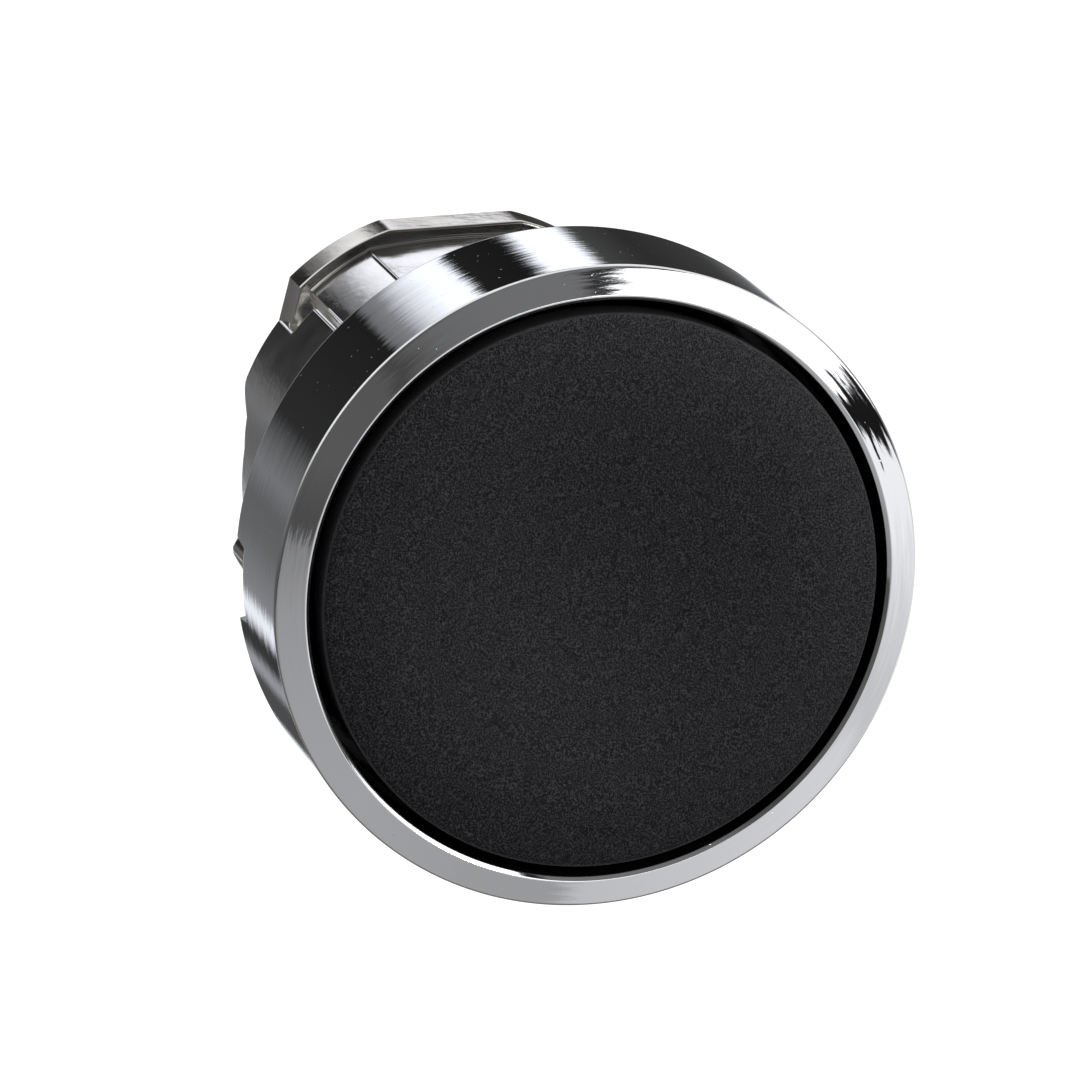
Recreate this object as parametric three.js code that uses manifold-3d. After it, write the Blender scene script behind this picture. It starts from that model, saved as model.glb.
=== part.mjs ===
// A flush, spring-return push-button head for a 22 mm panel hole: a bright bezel on a die-cast barrel,
// a moulded cap on a sprung plunger, and the seals, guides and clips that hold them together.
//
// Millimetres. Y is the button's axis: the cap faces -Y and the wiring side is +Y. +Z is up, at the
// anti-rotation key. The origin is the middle of the plane where the bezel's skirt meets the panel.
import * as THREE from 'three';
import { mergeVertices } from 'three/addons/utils/BufferGeometryUtils.js';
import Module from 'manifold-3d';

// ---- driving dimensions ----------------------------------------------------------------------------

const FIT = 0.2;                   // gap between pieces that touch on the real object
const TRAVEL = 4.0;                // full stroke of the cap
const OUTER_SEGMENTS = 60;         // facets around the outer pieces
const INNER_SEGMENTS = 32;
const SMALL_SEGMENTS = 16;

const BEZEL_R = 14.5;
const SKIRT_DEPTH = 7.04;          // panel plane to the bezel's outer front edge
const RIM_RISE = 0.44;             // the front face is a cone that rises inwards
const RIM_INNER_R = 13.23;
const MOUTH_R = 13.03;
const MOUTH_CHAMFER = 0.14;
const SKIRT_BORE_R = 13.5;
const SKIRT_BORE_DEPTH = 3.4;
const NOTCH = { width: 3.55, depth: 1.3, lift: -0.3 };  // prise-off notch in the skirt's rear edge

const CAP_R = 12.52;
const CAP_EDGE = -7.66;            // front of the cap's edge
const CAP_CREST = { r: 9.4, y: -7.95 };
const CAP_DISH = -7.45;            // front of the dished middle
const CAP_RIM_REAR = -6.1;
const CAP_WEB_REAR = -6.3;

const BARREL_R = 11.05;            // passes a 22.3 mm hole
const SHOULDER = { r: 13.25, front: -1.95, rear: -1.15 };
const RELIEF_R = 10.5;             // the lowered sector around 12 o'clock
const RELIEF_HALF_ANGLE = 42.4;
const RELIEF_FRONT = 3.6;
const SEAM_ANGLE = 23.7;           // where the top land ends in a fine step
const SEAM_STEP = 0.07;
const TOP_FLAT_Z = 9.95;
const BODY_REAR = 12.96;           // end of the full-diameter body
const LOBE = { from: 50, to: 73, rear: 15.46 };
const NECK_R = 9.6;
const FLANGE = { front: 16.26, rear: 18.46 };
const TOP_EAR = { r: 10.95, halfAngle: 42.3, flatZ: 10.5, tipX: 7.9, tipZ: 6.1 };
const LOW_EAR = { r: 11.2, from: 112, to: 140 };
const BORE = { frontR: 9.0, middleR: 7.85, rearR: 8.4, step: 2.1, rearStep: 11.7 };
const CLIP_GROOVE = { r: 8.85, front: 15.0, rear: 15.9 };
const KEY = { width: 3.0, top: 12.7, bottom: 9.85, front: 0.15, rear: 3.3 };

const PLUNGER_R = 5.6;
const SOCKET = { r: 4.45, floor: -1.9 };
const COLLAR = { r: 7.6, front: 2.95, rear: 3.7 };
const STEM = { r: 5.0, halfHeight: 3.6, rear: 16.1 };

const SPRING = { meanR: 6.6, wireR: 0.4, turns: 3.4, front: COLLAR.rear + FIT, rear: 11.05 };

const BAR = { halfLength: 7.4, halfHeight: 2.3, front: 16.3, rear: 18.1 };
const PUSHER = { x: 5.5, pegR: 0.9, headR: 1.6, rear: 20.6 };
const SCREW = { shaftR: 0.8, holeR: 1.05, headR: 1.9, tip: 11.0, headFront: 18.6, headRear: 19.5 };

// ---- shapes ----------------------------------------------------------------------------------------

const wasm = await Module();
wasm.setup();

// A closed three.js geometry as a solid, with its faces turned outwards.
function solid(geometry) {
  const bare = geometry.clone();
  bare.deleteAttribute('normal');
  bare.deleteAttribute('uv');
  const merged = mergeVertices(bare, 1e-4);
  const vertProperties = new Float32Array(merged.attributes.position.array);
  const triVerts = outwardTriangles(vertProperties, Uint32Array.from(merged.index.array));
  return new wasm.Manifold(new wasm.Mesh({ numProp: 3, vertProperties, triVerts }));
}

// Triangles without repeated corners, all reversed if the volume that they enclose is negative.
function outwardTriangles(position, index) {
  const kept = [];
  let volume = 0;
  for (let i = 0; i < index.length; i += 3) {
    const corners = [index[i], index[i + 1], index[i + 2]];
    if (new Set(corners).size < 3) continue;
    const [a, b, c] = corners.map((v) => new THREE.Vector3().fromArray(position, 3 * v));
    volume += a.dot(b.cross(c));
    kept.push(corners);
  }
  if (volume < 0) kept.forEach((corners) => corners.reverse());
  return Uint32Array.from(kept.flat());
}

function geometryOf(shape) {
  const mesh = shape.getMesh();
  const geometry = new THREE.BufferGeometry();
  geometry.setAttribute('position', new THREE.BufferAttribute(new Float32Array(mesh.vertProperties), 3));
  geometry.setIndex(new THREE.BufferAttribute(new Uint32Array(mesh.triVerts), 1));
  geometry.computeVertexNormals();
  return geometry;
}

// A shape turned about Y from [radius, y] points. A profile that stays off the axis is closed on itself.
function turned(profile, segments = OUTER_SEGMENTS) {
  const points = profile.map(([r, y]) => new THREE.Vector2(r, y));
  const onAxis = profile[0][0] === 0 && profile.at(-1)[0] === 0;
  if (!onAxis) points.push(points[0].clone());
  return solid(new THREE.LatheGeometry(points, segments));
}

function ring(innerR, outerR, front, rear, segments = INNER_SEGMENTS) {
  return turned([[innerR, front], [innerR, rear], [outerR, rear], [outerR, front]], segments);
}

function rod(r, front, rear, segments = INNER_SEGMENTS) {
  return turned([[0, front], [r, front], [r, rear], [0, rear]], segments);
}

// A flat outline in X and Z, made solid from front to rear along Y.
function plate(outline, front, rear, curveSegments = 12) {
  const geometry = new THREE.ExtrudeGeometry(outline, {
    depth: rear - front, bevelEnabled: false, curveSegments,
  });
  geometry.rotateX(Math.PI / 2);
  geometry.translate(0, rear, 0);
  return solid(geometry);
}

// A piece of a ring. Angles are in degrees from 12 o'clock, positive towards +X.
function sector(innerR, outerR, fromDeg, toDeg, front, rear) {
  const start = THREE.MathUtils.degToRad(90 - toDeg);
  const end = THREE.MathUtils.degToRad(90 - fromDeg);
  const outline = new THREE.Shape();
  outline.absarc(0, 0, outerR, start, end, false);
  outline.absarc(0, 0, innerR, end, start, true);
  outline.closePath();
  return plate(outline, front, rear, Math.max(4, Math.round((toDeg - fromDeg) / 8)));
}

function block(x0, x1, y0, y1, z0, z1) {
  const geometry = new THREE.BoxGeometry(x1 - x0, y1 - y0, z1 - z0);
  geometry.translate((x0 + x1) / 2, (y0 + y1) / 2, (z0 + z1) / 2);
  return solid(geometry);
}

// ---- fixed pieces ----------------------------------------------------------------------------------

function makeBezel() {
  const shell = turned([
    [BEZEL_R, 0],
    [BEZEL_R, -SKIRT_DEPTH],
    [RIM_INNER_R, -SKIRT_DEPTH - RIM_RISE],
    [MOUTH_R, -SKIRT_DEPTH - RIM_RISE + MOUTH_CHAMFER],
    [MOUTH_R, -SKIRT_BORE_DEPTH],
    [SKIRT_BORE_R, -SKIRT_BORE_DEPTH],
    [SKIRT_BORE_R, 0],
  ]);
  const low = NOTCH.lift - NOTCH.width / 2;
  const high = NOTCH.lift + NOTCH.width / 2;
  return shell.subtract(block(-BEZEL_R - 1, -MOUTH_R + 1, -NOTCH.depth, 1, low, high));
}

function makeBezelSeal() {
  return ring(12.8, 13.35, -SKIRT_BORE_DEPTH + FIT, SHOULDER.front - FIT);
}

function makeBarrel() {
  const body = turned([
    [BORE.frontR, SHOULDER.front],
    [BORE.frontR, BORE.step],
    [BORE.middleR, BORE.step],
    [BORE.middleR, BORE.rearStep],
    [BORE.rearR, BORE.rearStep],
    [BORE.rearR, CLIP_GROOVE.front],
    [CLIP_GROOVE.r, CLIP_GROOVE.front],
    [CLIP_GROOVE.r, CLIP_GROOVE.rear],
    [BORE.rearR, CLIP_GROOVE.rear],
    [BORE.rearR, FLANGE.rear],
    [NECK_R, FLANGE.rear],
    [NECK_R, BODY_REAR],
    [BARREL_R, BODY_REAR],
    [BARREL_R, SHOULDER.rear],
    [SHOULDER.r, SHOULDER.rear],
    [SHOULDER.r, SHOULDER.front],
  ]);
  const beyond = BARREL_R + 1;
  const relief = sector(RELIEF_R, beyond, -RELIEF_HALF_ANGLE, RELIEF_HALF_ANGLE, RELIEF_FRONT, BODY_REAR + 1);
  const deck = sector(NECK_R - 0.5, RELIEF_R, -RELIEF_HALF_ANGLE, RELIEF_HALF_ANGLE,
    BODY_REAR - 0.5, FLANGE.front + 0.5);
  const topLand = sector(NECK_R - 0.5, RELIEF_R + SEAM_STEP, -SEAM_ANGLE, SEAM_ANGLE,
    RELIEF_FRONT - 0.5, FLANGE.front + 0.5);
  const lobes = [-1, 1].map((side) => sector(NECK_R - 0.5, BARREL_R, ...span(side, LOBE), BODY_REAR - 0.5,
    LOBE.rear));
  const topFlat = block(-8, 8, RELIEF_FRONT, FLANGE.front, TOP_FLAT_Z, beyond);
  const lowEars = [-1, 1].map((side) => sector(NECK_R - 0.5, LOW_EAR.r, ...span(side, LOW_EAR), FLANGE.front,
    FLANGE.rear));
  const keySlot = block(-KEY.width / 2 - FIT, KEY.width / 2 + FIT, 0, KEY.rear + FIT, KEY.bottom - FIT, 14);
  return [deck, topLand, ...lobes].reduce((all, piece) => all.add(piece), body.subtract(relief))
    .subtract(topFlat)
    .add(makeTopEar())
    .add(lowEars[0])
    .add(lowEars[1])
    .subtract(keySlot);
}

// The ear at 12 o'clock: an arc with a flat on top, whose ends drop almost straight down to pointed tips.
function makeTopEar() {
  const halfArc = THREE.MathUtils.degToRad(TOP_EAR.halfAngle);
  const tipAngle = Math.atan2(TOP_EAR.tipX, TOP_EAR.tipZ);
  const outline = new THREE.Shape();
  outline.moveTo(TOP_EAR.tipX, TOP_EAR.tipZ);
  outline.absarc(0, 0, TOP_EAR.r, Math.PI / 2 - halfArc, Math.PI / 2 + halfArc, false);
  outline.lineTo(-TOP_EAR.tipX, TOP_EAR.tipZ);
  outline.absarc(0, 0, NECK_R - 0.5, Math.PI / 2 + tipAngle, Math.PI / 2 - tipAngle, true);
  outline.closePath();
  return plate(outline, FLANGE.front, FLANGE.rear, 10)
    .subtract(block(-8, 8, FLANGE.front - 1, FLANGE.rear + 1, TOP_EAR.flatZ, BARREL_R + 1));
}

function span(side, { from, to }) {
  return side < 0 ? [-to, -from] : [from, to];
}

function makePanelGasket() {
  return ring(11.3, 13.3, SHOULDER.rear + 0.15, 0);
}

function makeAntiRotationKey() {
  return block(-KEY.width / 2, KEY.width / 2, KEY.front, KEY.rear, KEY.bottom, KEY.top);
}

function makeGuideBush() {
  return turned([
    [8.75, -1.8], [8.75, 1.9], [6.1, 1.9], [6.1, 0.5], [7.9, 0.5], [7.9, -1.8],
  ], INNER_SEGMENTS);
}

function makeLipSeal() {
  return turned([
    [7.7, -0.85], [7.7, 0.3], [6.5, 0.3], [5.8, -0.75], [6.3, -0.85], [6.8, -0.1], [7.2, -0.85],
  ], INNER_SEGMENTS);
}

function makeSealRetainer() {
  return ring(6.2, 7.7, -1.75, -1.05);
}

function makeStopBumper() {
  return ring(6.1, 7.5, 2.1, 2.75);
}

function makeSpringWasher() {
  return ring(5.6, 7.6, SPRING.rear + FIT, SPRING.rear + FIT + 0.35);
}

function makeRearGuide() {
  const front = BORE.rearStep + FIT;
  const rear = CLIP_GROOVE.front - 0.1;
  const disc = rod(BORE.rearR - FIT, front, rear);
  const windows = [-1, 1].map((side) => sector(5.9, 7.2, 180 * (side > 0) - 24, 180 * (side > 0) + 24,
    front - 1, rear + 1));
  return disc.subtract(stemShape(FIT, front - 1, rear + 1)).subtract(windows[0]).subtract(windows[1]);
}

function makeRetainingRing() {
  const front = CLIP_GROOVE.front + 0.15;
  const rear = front + 0.6;
  const lugs = [-1, 1].map((side) => {
    const lug = sector(6.5, 7.8, ...span(side, { from: 152, to: 166 }), front, rear);
    const angle = THREE.MathUtils.degToRad(90 - side * 159);
    const hole = rod(0.4, front - 1, rear + 1, 8).translate([7.1 * Math.cos(angle), 0, 7.1 * Math.sin(angle)]);
    return lug.subtract(hole);
  });
  return sector(7.4, CLIP_GROOVE.r - FIT, -166, 166, front, rear).add(lugs[0]).add(lugs[1]);
}

// A round wire along a helix from the plunger's collar to the washer.
function makeReturnSpring() {
  const { meanR, wireR, turns } = SPRING;
  const front = SPRING.front + wireR;
  const rear = SPRING.rear - wireR;
  class Helix extends THREE.Curve {
    getPoint(t, target = new THREE.Vector3()) {
      const angle = 2 * Math.PI * turns * t;
      return target.set(meanR * Math.sin(angle), front + (rear - front) * t, meanR * Math.cos(angle));
    }
  }
  const wire = new THREE.Shape();
  wire.absarc(0, 0, wireR, 0, 2 * Math.PI, false);
  return solid(new THREE.ExtrudeGeometry(wire, {
    steps: Math.round(turns * 16), extrudePath: new Helix(), curveSegments: 4, bevelEnabled: false,
  }));
}

// ---- moving pieces ---------------------------------------------------------------------------------

// The cap's face falls from a crest to its edge and to a dished middle, with a thin web and a hub behind.
function makePushCap() {
  const face = [];
  const dishSteps = 5;
  for (let i = 0; i <= dishSteps; i += 1) {
    const t = i / dishSteps;
    const ease = t * t * (3 - 2 * t);
    face.push([CAP_CREST.r * t, CAP_DISH + (CAP_CREST.y - CAP_DISH) * ease]);
  }
  const fallSteps = 3;
  for (let i = 1; i <= fallSteps; i += 1) {
    const t = i / fallSteps;
    const r = CAP_CREST.r + (CAP_R - 0.12 - CAP_CREST.r) * t;
    face.push([r, CAP_CREST.y + (CAP_EDGE - CAP_CREST.y) * t * t]);
  }
  return turned([
    ...face,
    [CAP_R, CAP_EDGE + 0.12],
    [CAP_R, CAP_RIM_REAR],
    [11.3, CAP_RIM_REAR],
    [11.3, CAP_WEB_REAR],
    [SOCKET.r - FIT, CAP_WEB_REAR],
    [SOCKET.r - FIT, SOCKET.floor - 0.4],
    [3.2, SOCKET.floor - 0.4],
    [3.2, CAP_WEB_REAR],
    [0, CAP_WEB_REAR],
  ]);
}

// A round stem with a flat above and below that keep it from turning.
function stemShape(grow, front, rear) {
  const halfHeight = STEM.halfHeight + grow;
  return rod(STEM.r + grow, front, rear)
    .subtract(block(-9, 9, front - 1, rear + 1, halfHeight, 9))
    .subtract(block(-9, 9, front - 1, rear + 1, -9, -halfHeight));
}

function makePlunger() {
  const head = turned([
    [0, SOCKET.floor],
    [SOCKET.r, SOCKET.floor],
    [SOCKET.r, CAP_WEB_REAR + FIT],
    [PLUNGER_R, CAP_WEB_REAR + FIT],
    [PLUNGER_R, COLLAR.front],
    [COLLAR.r, COLLAR.front],
    [COLLAR.r, COLLAR.rear],
    [0, COLLAR.rear],
  ], INNER_SEGMENTS);
  return head.add(stemShape(0, COLLAR.rear - 0.5, STEM.rear))
    .subtract(rod(SCREW.holeR, SCREW.tip - 0.5, STEM.rear + 1, SMALL_SEGMENTS));
}

function makePusherBar() {
  const outline = new THREE.Shape();
  const reach = BAR.halfLength - BAR.halfHeight;
  outline.absarc(reach, 0, BAR.halfHeight, -Math.PI / 2, Math.PI / 2, false);
  outline.absarc(-reach, 0, BAR.halfHeight, Math.PI / 2, 3 * Math.PI / 2, false);
  outline.closePath();
  const pegHoles = [-1, 1].map((side) => rod(PUSHER.pegR + FIT, BAR.front - 1, BAR.rear + 1, SMALL_SEGMENTS)
    .translate([side * PUSHER.x, 0, 0]));
  return plate(outline, BAR.front, BAR.rear, 8)
    .subtract(rod(SCREW.holeR, BAR.front - 1, BAR.rear + 1, SMALL_SEGMENTS))
    .subtract(pegHoles[0])
    .subtract(pegHoles[1]);
}

// A peg through the bar with a domed-edge head that bears on a contact block.
function makeContactPusher(side) {
  const headFront = BAR.rear + FIT;
  return turned([
    [0, BAR.front + 0.1],
    [PUSHER.pegR, BAR.front + 0.1],
    [PUSHER.pegR, headFront],
    [PUSHER.headR, headFront],
    [PUSHER.headR, PUSHER.rear - 0.3],
    [PUSHER.headR - 0.3, PUSHER.rear],
    [0, PUSHER.rear],
  ], SMALL_SEGMENTS).translate([side * PUSHER.x, 0, 0]);
}

function makeLockWasher() {
  return ring(SCREW.holeR, 1.9, BAR.rear + 0.1, SCREW.headFront - 0.1, SMALL_SEGMENTS);
}

function makePusherScrew() {
  const { shaftR, headR, tip, headFront, headRear } = SCREW;
  const blank = turned([
    [0, tip], [shaftR, tip + 0.8], [shaftR, headFront], [headR, headFront],
    [headR, headRear - 0.35], [headR - 0.35, headRear], [0, headRear],
  ], SMALL_SEGMENTS);
  const slotDepth = 0.5;
  return blank
    .subtract(block(-1.2, 1.2, headRear - slotDepth, headRear + 1, -0.25, 0.25))
    .subtract(block(-0.25, 0.25, headRear - slotDepth, headRear + 1, -1.2, 1.2));
}

// ---- the assembly ----------------------------------------------------------------------------------

function finish(color, roughness, metalness = 0) {
  return () => new THREE.MeshStandardMaterial({ color, roughness, metalness });
}

const brightChrome = finish(0xd9dadc, 0.08, 1);
const satinChrome = finish(0xc6c8cb, 0.28, 1);
const springSteel = finish(0xa7a9ac, 0.3, 1);
const zincPlate = finish(0xb9bcc0, 0.35, 1);
const blackRubber = finish(0x161617, 0.8);
const capPlastic = finish(0x242527, 0.6);
const blackNylon = finish(0x1d1e20, 0.55);
const whiteAcetal = finish(0xe4e2da, 0.45);

function piece(name, shape, newMaterial) {
  const mesh = new THREE.Mesh(geometryOf(shape), newMaterial());
  mesh.name = name;
  return mesh;
}

const head = new THREE.Group();
head.add(
  piece('bezel', makeBezel(), brightChrome),
  piece('bezel_seal', makeBezelSeal(), blackRubber),
  piece('barrel', makeBarrel(), satinChrome),
  piece('panel_gasket', makePanelGasket(), blackRubber),
  piece('anti_rotation_key', makeAntiRotationKey(), blackNylon),
  piece('guide_bush', makeGuideBush(), whiteAcetal),
  piece('lip_seal', makeLipSeal(), blackRubber),
  piece('seal_retainer', makeSealRetainer(), blackNylon),
  piece('stop_bumper', makeStopBumper(), blackRubber),
  piece('return_spring', makeReturnSpring(), springSteel),
  piece('spring_washer', makeSpringWasher(), zincPlate),
  piece('rear_guide', makeRearGuide(), blackNylon),
  piece('retaining_ring', makeRetainingRing(), springSteel),
);

const button = new THREE.Group();
button.add(
  piece('push_cap', makePushCap(), capPlastic),
  piece('plunger', makePlunger(), whiteAcetal),
  piece('pusher_bar', makePusherBar(), whiteAcetal),
  piece('contact_pusher_left', makeContactPusher(-1), whiteAcetal),
  piece('contact_pusher_right', makeContactPusher(1), whiteAcetal),
  piece('lock_washer', makeLockWasher(), springSteel),
  piece('pusher_screw', makePusherScrew(), zincPlate),
);

// The cap's rim, pressed home, stays clear of the barrel's shoulder.
if (CAP_RIM_REAR + TRAVEL > SHOULDER.front - 0.1) throw new Error('the cap would strike the shoulder');

const pushButtonHead = new THREE.Group();
pushButtonHead.add(head, button);

export default pushButtonHead;
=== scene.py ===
# %% [markdown]
# # A push-button head for a 22 mm panel hole
# This script dresses a packed mechanical model. The model gives every piece its place and size, in
# metres, with the button's axis along Y, the cap facing -Y and +Z up. Blender adds what a mechanical
# model lacks: rounded edges, moulded grain, plated metal and a studio to reflect. Loading the frame comes
# first, because every later cell takes its places from it.

# %% Load the frame
import math

import bmesh
import bpy
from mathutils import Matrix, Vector


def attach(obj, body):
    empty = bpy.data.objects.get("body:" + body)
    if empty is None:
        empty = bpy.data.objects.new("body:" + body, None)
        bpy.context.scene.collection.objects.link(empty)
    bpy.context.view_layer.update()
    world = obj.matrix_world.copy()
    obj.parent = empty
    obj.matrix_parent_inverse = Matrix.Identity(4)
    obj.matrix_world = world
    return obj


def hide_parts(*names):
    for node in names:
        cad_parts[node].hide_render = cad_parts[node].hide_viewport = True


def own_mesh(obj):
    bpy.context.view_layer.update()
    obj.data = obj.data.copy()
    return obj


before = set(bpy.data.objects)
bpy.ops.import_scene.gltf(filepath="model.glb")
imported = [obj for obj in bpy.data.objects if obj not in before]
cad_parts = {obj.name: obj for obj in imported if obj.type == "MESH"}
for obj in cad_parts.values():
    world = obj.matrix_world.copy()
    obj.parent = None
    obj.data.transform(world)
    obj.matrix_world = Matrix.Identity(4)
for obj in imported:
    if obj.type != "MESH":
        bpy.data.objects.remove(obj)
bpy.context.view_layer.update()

MM = 0.001

# %% [markdown]
# ## Camera
# A product shot of so small a thing is taken from about a foot away with a very long lens, so the bezel
# looks nearly like a true ellipse. The camera stands a little to the left of the axis and a little above
# it. Its place is worked out from two angles and a distance, so each can be changed by itself.

# %% Camera
CAMERA_TURN = math.radians(-15.91)      # to the left of the button's axis
CAMERA_LIFT = math.radians(16.78)       # above the axis
CAMERA_DISTANCE = 336 * MM
CAMERA_LENS = 258.2                     # mm, on a sensor of SENSOR_WIDTH
SENSOR_WIDTH = 36
AIM_LEFT = 2.55 * MM                    # the axis meets the picture right of and below its middle
AIM_UP = 2.13 * MM
SKIRT_DEPTH = 7.04

scene = bpy.context.scene


def new_object(name, data):
    """Puts a mesh, a curve, a lamp or a camera into the scene."""
    added = bpy.data.objects.new(name, data)
    scene.collection.objects.link(added)
    return added


def add_camera():
    back = Vector((
        math.sin(CAMERA_TURN) * math.cos(CAMERA_LIFT),
        -math.cos(CAMERA_TURN) * math.cos(CAMERA_LIFT),
        math.sin(CAMERA_LIFT),
    ))
    right = Vector((math.cos(CAMERA_TURN), math.sin(CAMERA_TURN), 0))
    up = back.cross(right)
    bezel_edge = Vector((0, -SKIRT_DEPTH * MM, 0))
    camera = new_object("camera", bpy.data.cameras.new("camera"))
    camera.data.lens = CAMERA_LENS
    camera.data.sensor_width = SENSOR_WIDTH
    camera.location = bezel_edge + CAMERA_DISTANCE * back - AIM_LEFT * right + AIM_UP * up
    camera.rotation_euler = back.to_track_quat("Z", "Y").to_euler()
    scene.camera = camera
    return camera


print("camera at", [round(c, 4) for c in add_camera().location])

# %% [markdown]
# ## Nodes in a few words
# Finishes, the studio and the repeated shapes are all node trees. These helpers add one node each. A
# value given to them may be a plain number or colour, which is set on the socket itself, or another
# node's output, which is linked.

# %% Node helpers


def feed(tree, socket, value):
    """Links another node's output to a socket, or sets the socket to a plain value."""
    if hasattr(value, "is_output"):
        tree.links.new(value, socket)
    else:
        socket.default_value = value


def add_node(tree, kind, inputs=(), **settings):
    """Adds a node with its settings and inputs, and returns its outputs."""
    node = tree.nodes.new(kind)
    for name, value in settings.items():
        setattr(node, name, value)
    for key, value in dict(inputs).items():
        feed(tree, node.inputs[key], value)
    return node.outputs


def maths(tree, operation, *values):
    return add_node(tree, "ShaderNodeMath", enumerate(values), operation=operation)[0]


def vectors(tree, operation, *values):
    return add_node(tree, "ShaderNodeVectorMath", enumerate(values), operation=operation)[0]


def scaled(tree, value, low, high, to_low=0.0, to_high=1.0, kind="LINEAR"):
    """Carries a value from one range to another, and stops at the ends."""
    inputs = {"Value": value, "From Min": low, "From Max": high, "To Min": to_low, "To Max": to_high}
    return add_node(tree, "ShaderNodeMapRange", inputs, interpolation_type=kind)["Result"]


def blended(tree, factor, a, b, mode="MIX"):
    """Mixes two colours."""
    return add_node(tree, "ShaderNodeMix", {0: factor, 6: a, 7: b}, data_type="RGBA", blend_type=mode)[2]


def grey(light):
    return (light, light, light, 1)


print("node helpers ready")

# %% [markdown]
# ## The studio that the chrome reflects
# Bright chrome has no colour of its own: it shows the room. So the room is what gets designed. A world
# shader looks up a brightness by direction, as if white cards and black flags stood in a ring around the
# button. The turned skirt mirrors a narrow ring of directions behind the button, and the sloped front
# mirrors a wide ring in front of it. Each has its own list of cards, given as an angle around the
# button's axis (0 is straight up, 90 is to the right) and the grey that it should show, from 0 to 255.
# Plain white is used for what the camera sees and for soft fill light.

# %% Cards around the button
MIRROR = 0.8                            # the share of light that chrome returns
TINTED_FROM = 0.3                       # the light above which a card shows its full tint

REAR_CARDS = [
    (-180, 60), (-176, 142), (-171, 146), (-167, 52), (-157, 50), (-155, 215), (-149, 240), (-145, 128),
    (-122, 97), (-110, 92), (-100, 114), (-91, 95), (-80, 42), (-34.5, 28), (-33, 100), (-25, 128),
    (-17, 215), (-8, 255), (2, 255), (3.5, 30), (25, 22), (28, 200), (29.5, 255), (46.5, 255), (49, 66),
    (68, 42), (98, 55), (112, 88), (119, 115), (126, 240), (155, 240), (162, 70),
]
FRONT_CARDS = [
    (-180, 156), (-164, 160), (-147, 157), (-127, 149), (-110, 128), (-107, 72), (-82, 86), (-47, 84),
    (-38, 66), (-28, 84), (-14, 102), (8, 108), (33, 109), (34, 40), (39.2, 34), (40, 300), (83.5, 300),
    (84.5, 28), (94, 20), (95.5, 240), (104, 236), (116, 208), (127, 192), (133, 209), (157, 193),
    (165, 188), (167, 154),
]
SIDE_CARDS = [
    (-180, 105), (-150, 112), (-118, 95), (-100, 80), (-80, 120), (-66, 225), (-25, 240), (20, 240),
    (60, 225), (75, 150), (85, 110), (95, 200), (125, 235), (145, 200), (160, 120),
]
REAR_TINT = (0.96, 0.985, 1.06)
SIDE_TINT = (1, 1, 1)
FRONT_TINT = (0.985, 0.985, 1.02)
BACKDROP = 0.30                         # a grey sheet straight behind the button
OVERHEAD = 0.95                         # a white sheet overhead
TABLE = (0.20, 0.175, 0.155)            # the brown table top underneath
FILL = 1.12                             # soft white light from all round

OVERHEAD_EDGE = (0.5, 0.75)             # each sheet fades in between two values of the direction's Z or Y
TABLE_EDGE = (-0.5, -0.75)
FRONT_EDGE = (-0.22, -0.38)
REAR_EDGE = (0.76, 0.86)
BACKDROP_EDGE = (0.955, 0.98)


def linear(grey_value):
    """The light that an sRGB value of 0 to 255 stands for."""
    return ((grey_value / 255 + 0.055) / 1.055) ** 2.4


def card_ramp(tree, around, cards, tint):
    """A colour ramp with one card at each angle."""
    ramp = tree.nodes.new("ShaderNodeValToRGB")
    elements = ramp.color_ramp.elements
    while len(elements) > 1:
        elements.remove(elements[0])
    for i, (angle, shown) in enumerate(cards):
        position = (angle + 180) / 360
        element = elements[0] if i == 0 else elements.new(position)
        element.position = position
        light = linear(shown) / MIRROR
        share = min(1, light / TINTED_FROM)
        element.color = (*[light * (1 + (channel - 1) * share) for channel in tint], 1)
    feed(tree, ramp.inputs["Fac"], around)
    return ramp.outputs["Color"]


def build_studio():
    world = bpy.data.worlds.new("studio")
    world.use_nodes = True
    tree = world.node_tree
    tree.nodes.clear()
    direction = add_node(tree, "ShaderNodeTexCoord")["Generated"]
    towards = add_node(tree, "ShaderNodeSeparateXYZ", {0: direction})
    around = scaled(tree, maths(tree, "ARCTAN2", towards["X"], towards["Z"]), -math.pi, math.pi)
    room = card_ramp(tree, around, SIDE_CARDS, SIDE_TINT)
    layers = [
        ("Z", OVERHEAD_EDGE, grey(OVERHEAD)),
        ("Z", TABLE_EDGE, (*TABLE, 1)),
        ("Y", FRONT_EDGE, card_ramp(tree, around, FRONT_CARDS, FRONT_TINT)),
        ("Y", REAR_EDGE, card_ramp(tree, around, REAR_CARDS, REAR_TINT)),
        ("Y", BACKDROP_EDGE, grey(BACKDROP)),
    ]
    for axis, edge, layer in layers:
        share = scaled(tree, towards[axis], *edge, kind="SMOOTHSTEP")
        room = blended(tree, share, room, layer)
    mirrored = add_node(tree, "ShaderNodeLightPath")["Is Glossy Ray"]
    seen = blended(tree, mirrored, grey(FILL), room)
    background = add_node(tree, "ShaderNodeBackground", {"Color": seen})
    add_node(tree, "ShaderNodeOutputWorld", {"Surface": background[0]})
    scene.world = world


build_studio()
scene.view_settings.view_transform = "Standard"
print("studio cards:", len(REAR_CARDS), "behind,", len(SIDE_CARDS), "beside,", len(FRONT_CARDS), "in front")

# %% [markdown]
# ## Floor and lamp
# The floor is a plain pale sheet well below the button, so it takes no hard shadow. It is hidden from
# mirror rays, because the cards above already say what the chrome reflects. One soft lamp at the upper
# right gives the grain of the cap a lit side and a dark side. The sheet is clear from below, so the
# underside of the button can be looked at too.

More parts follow.
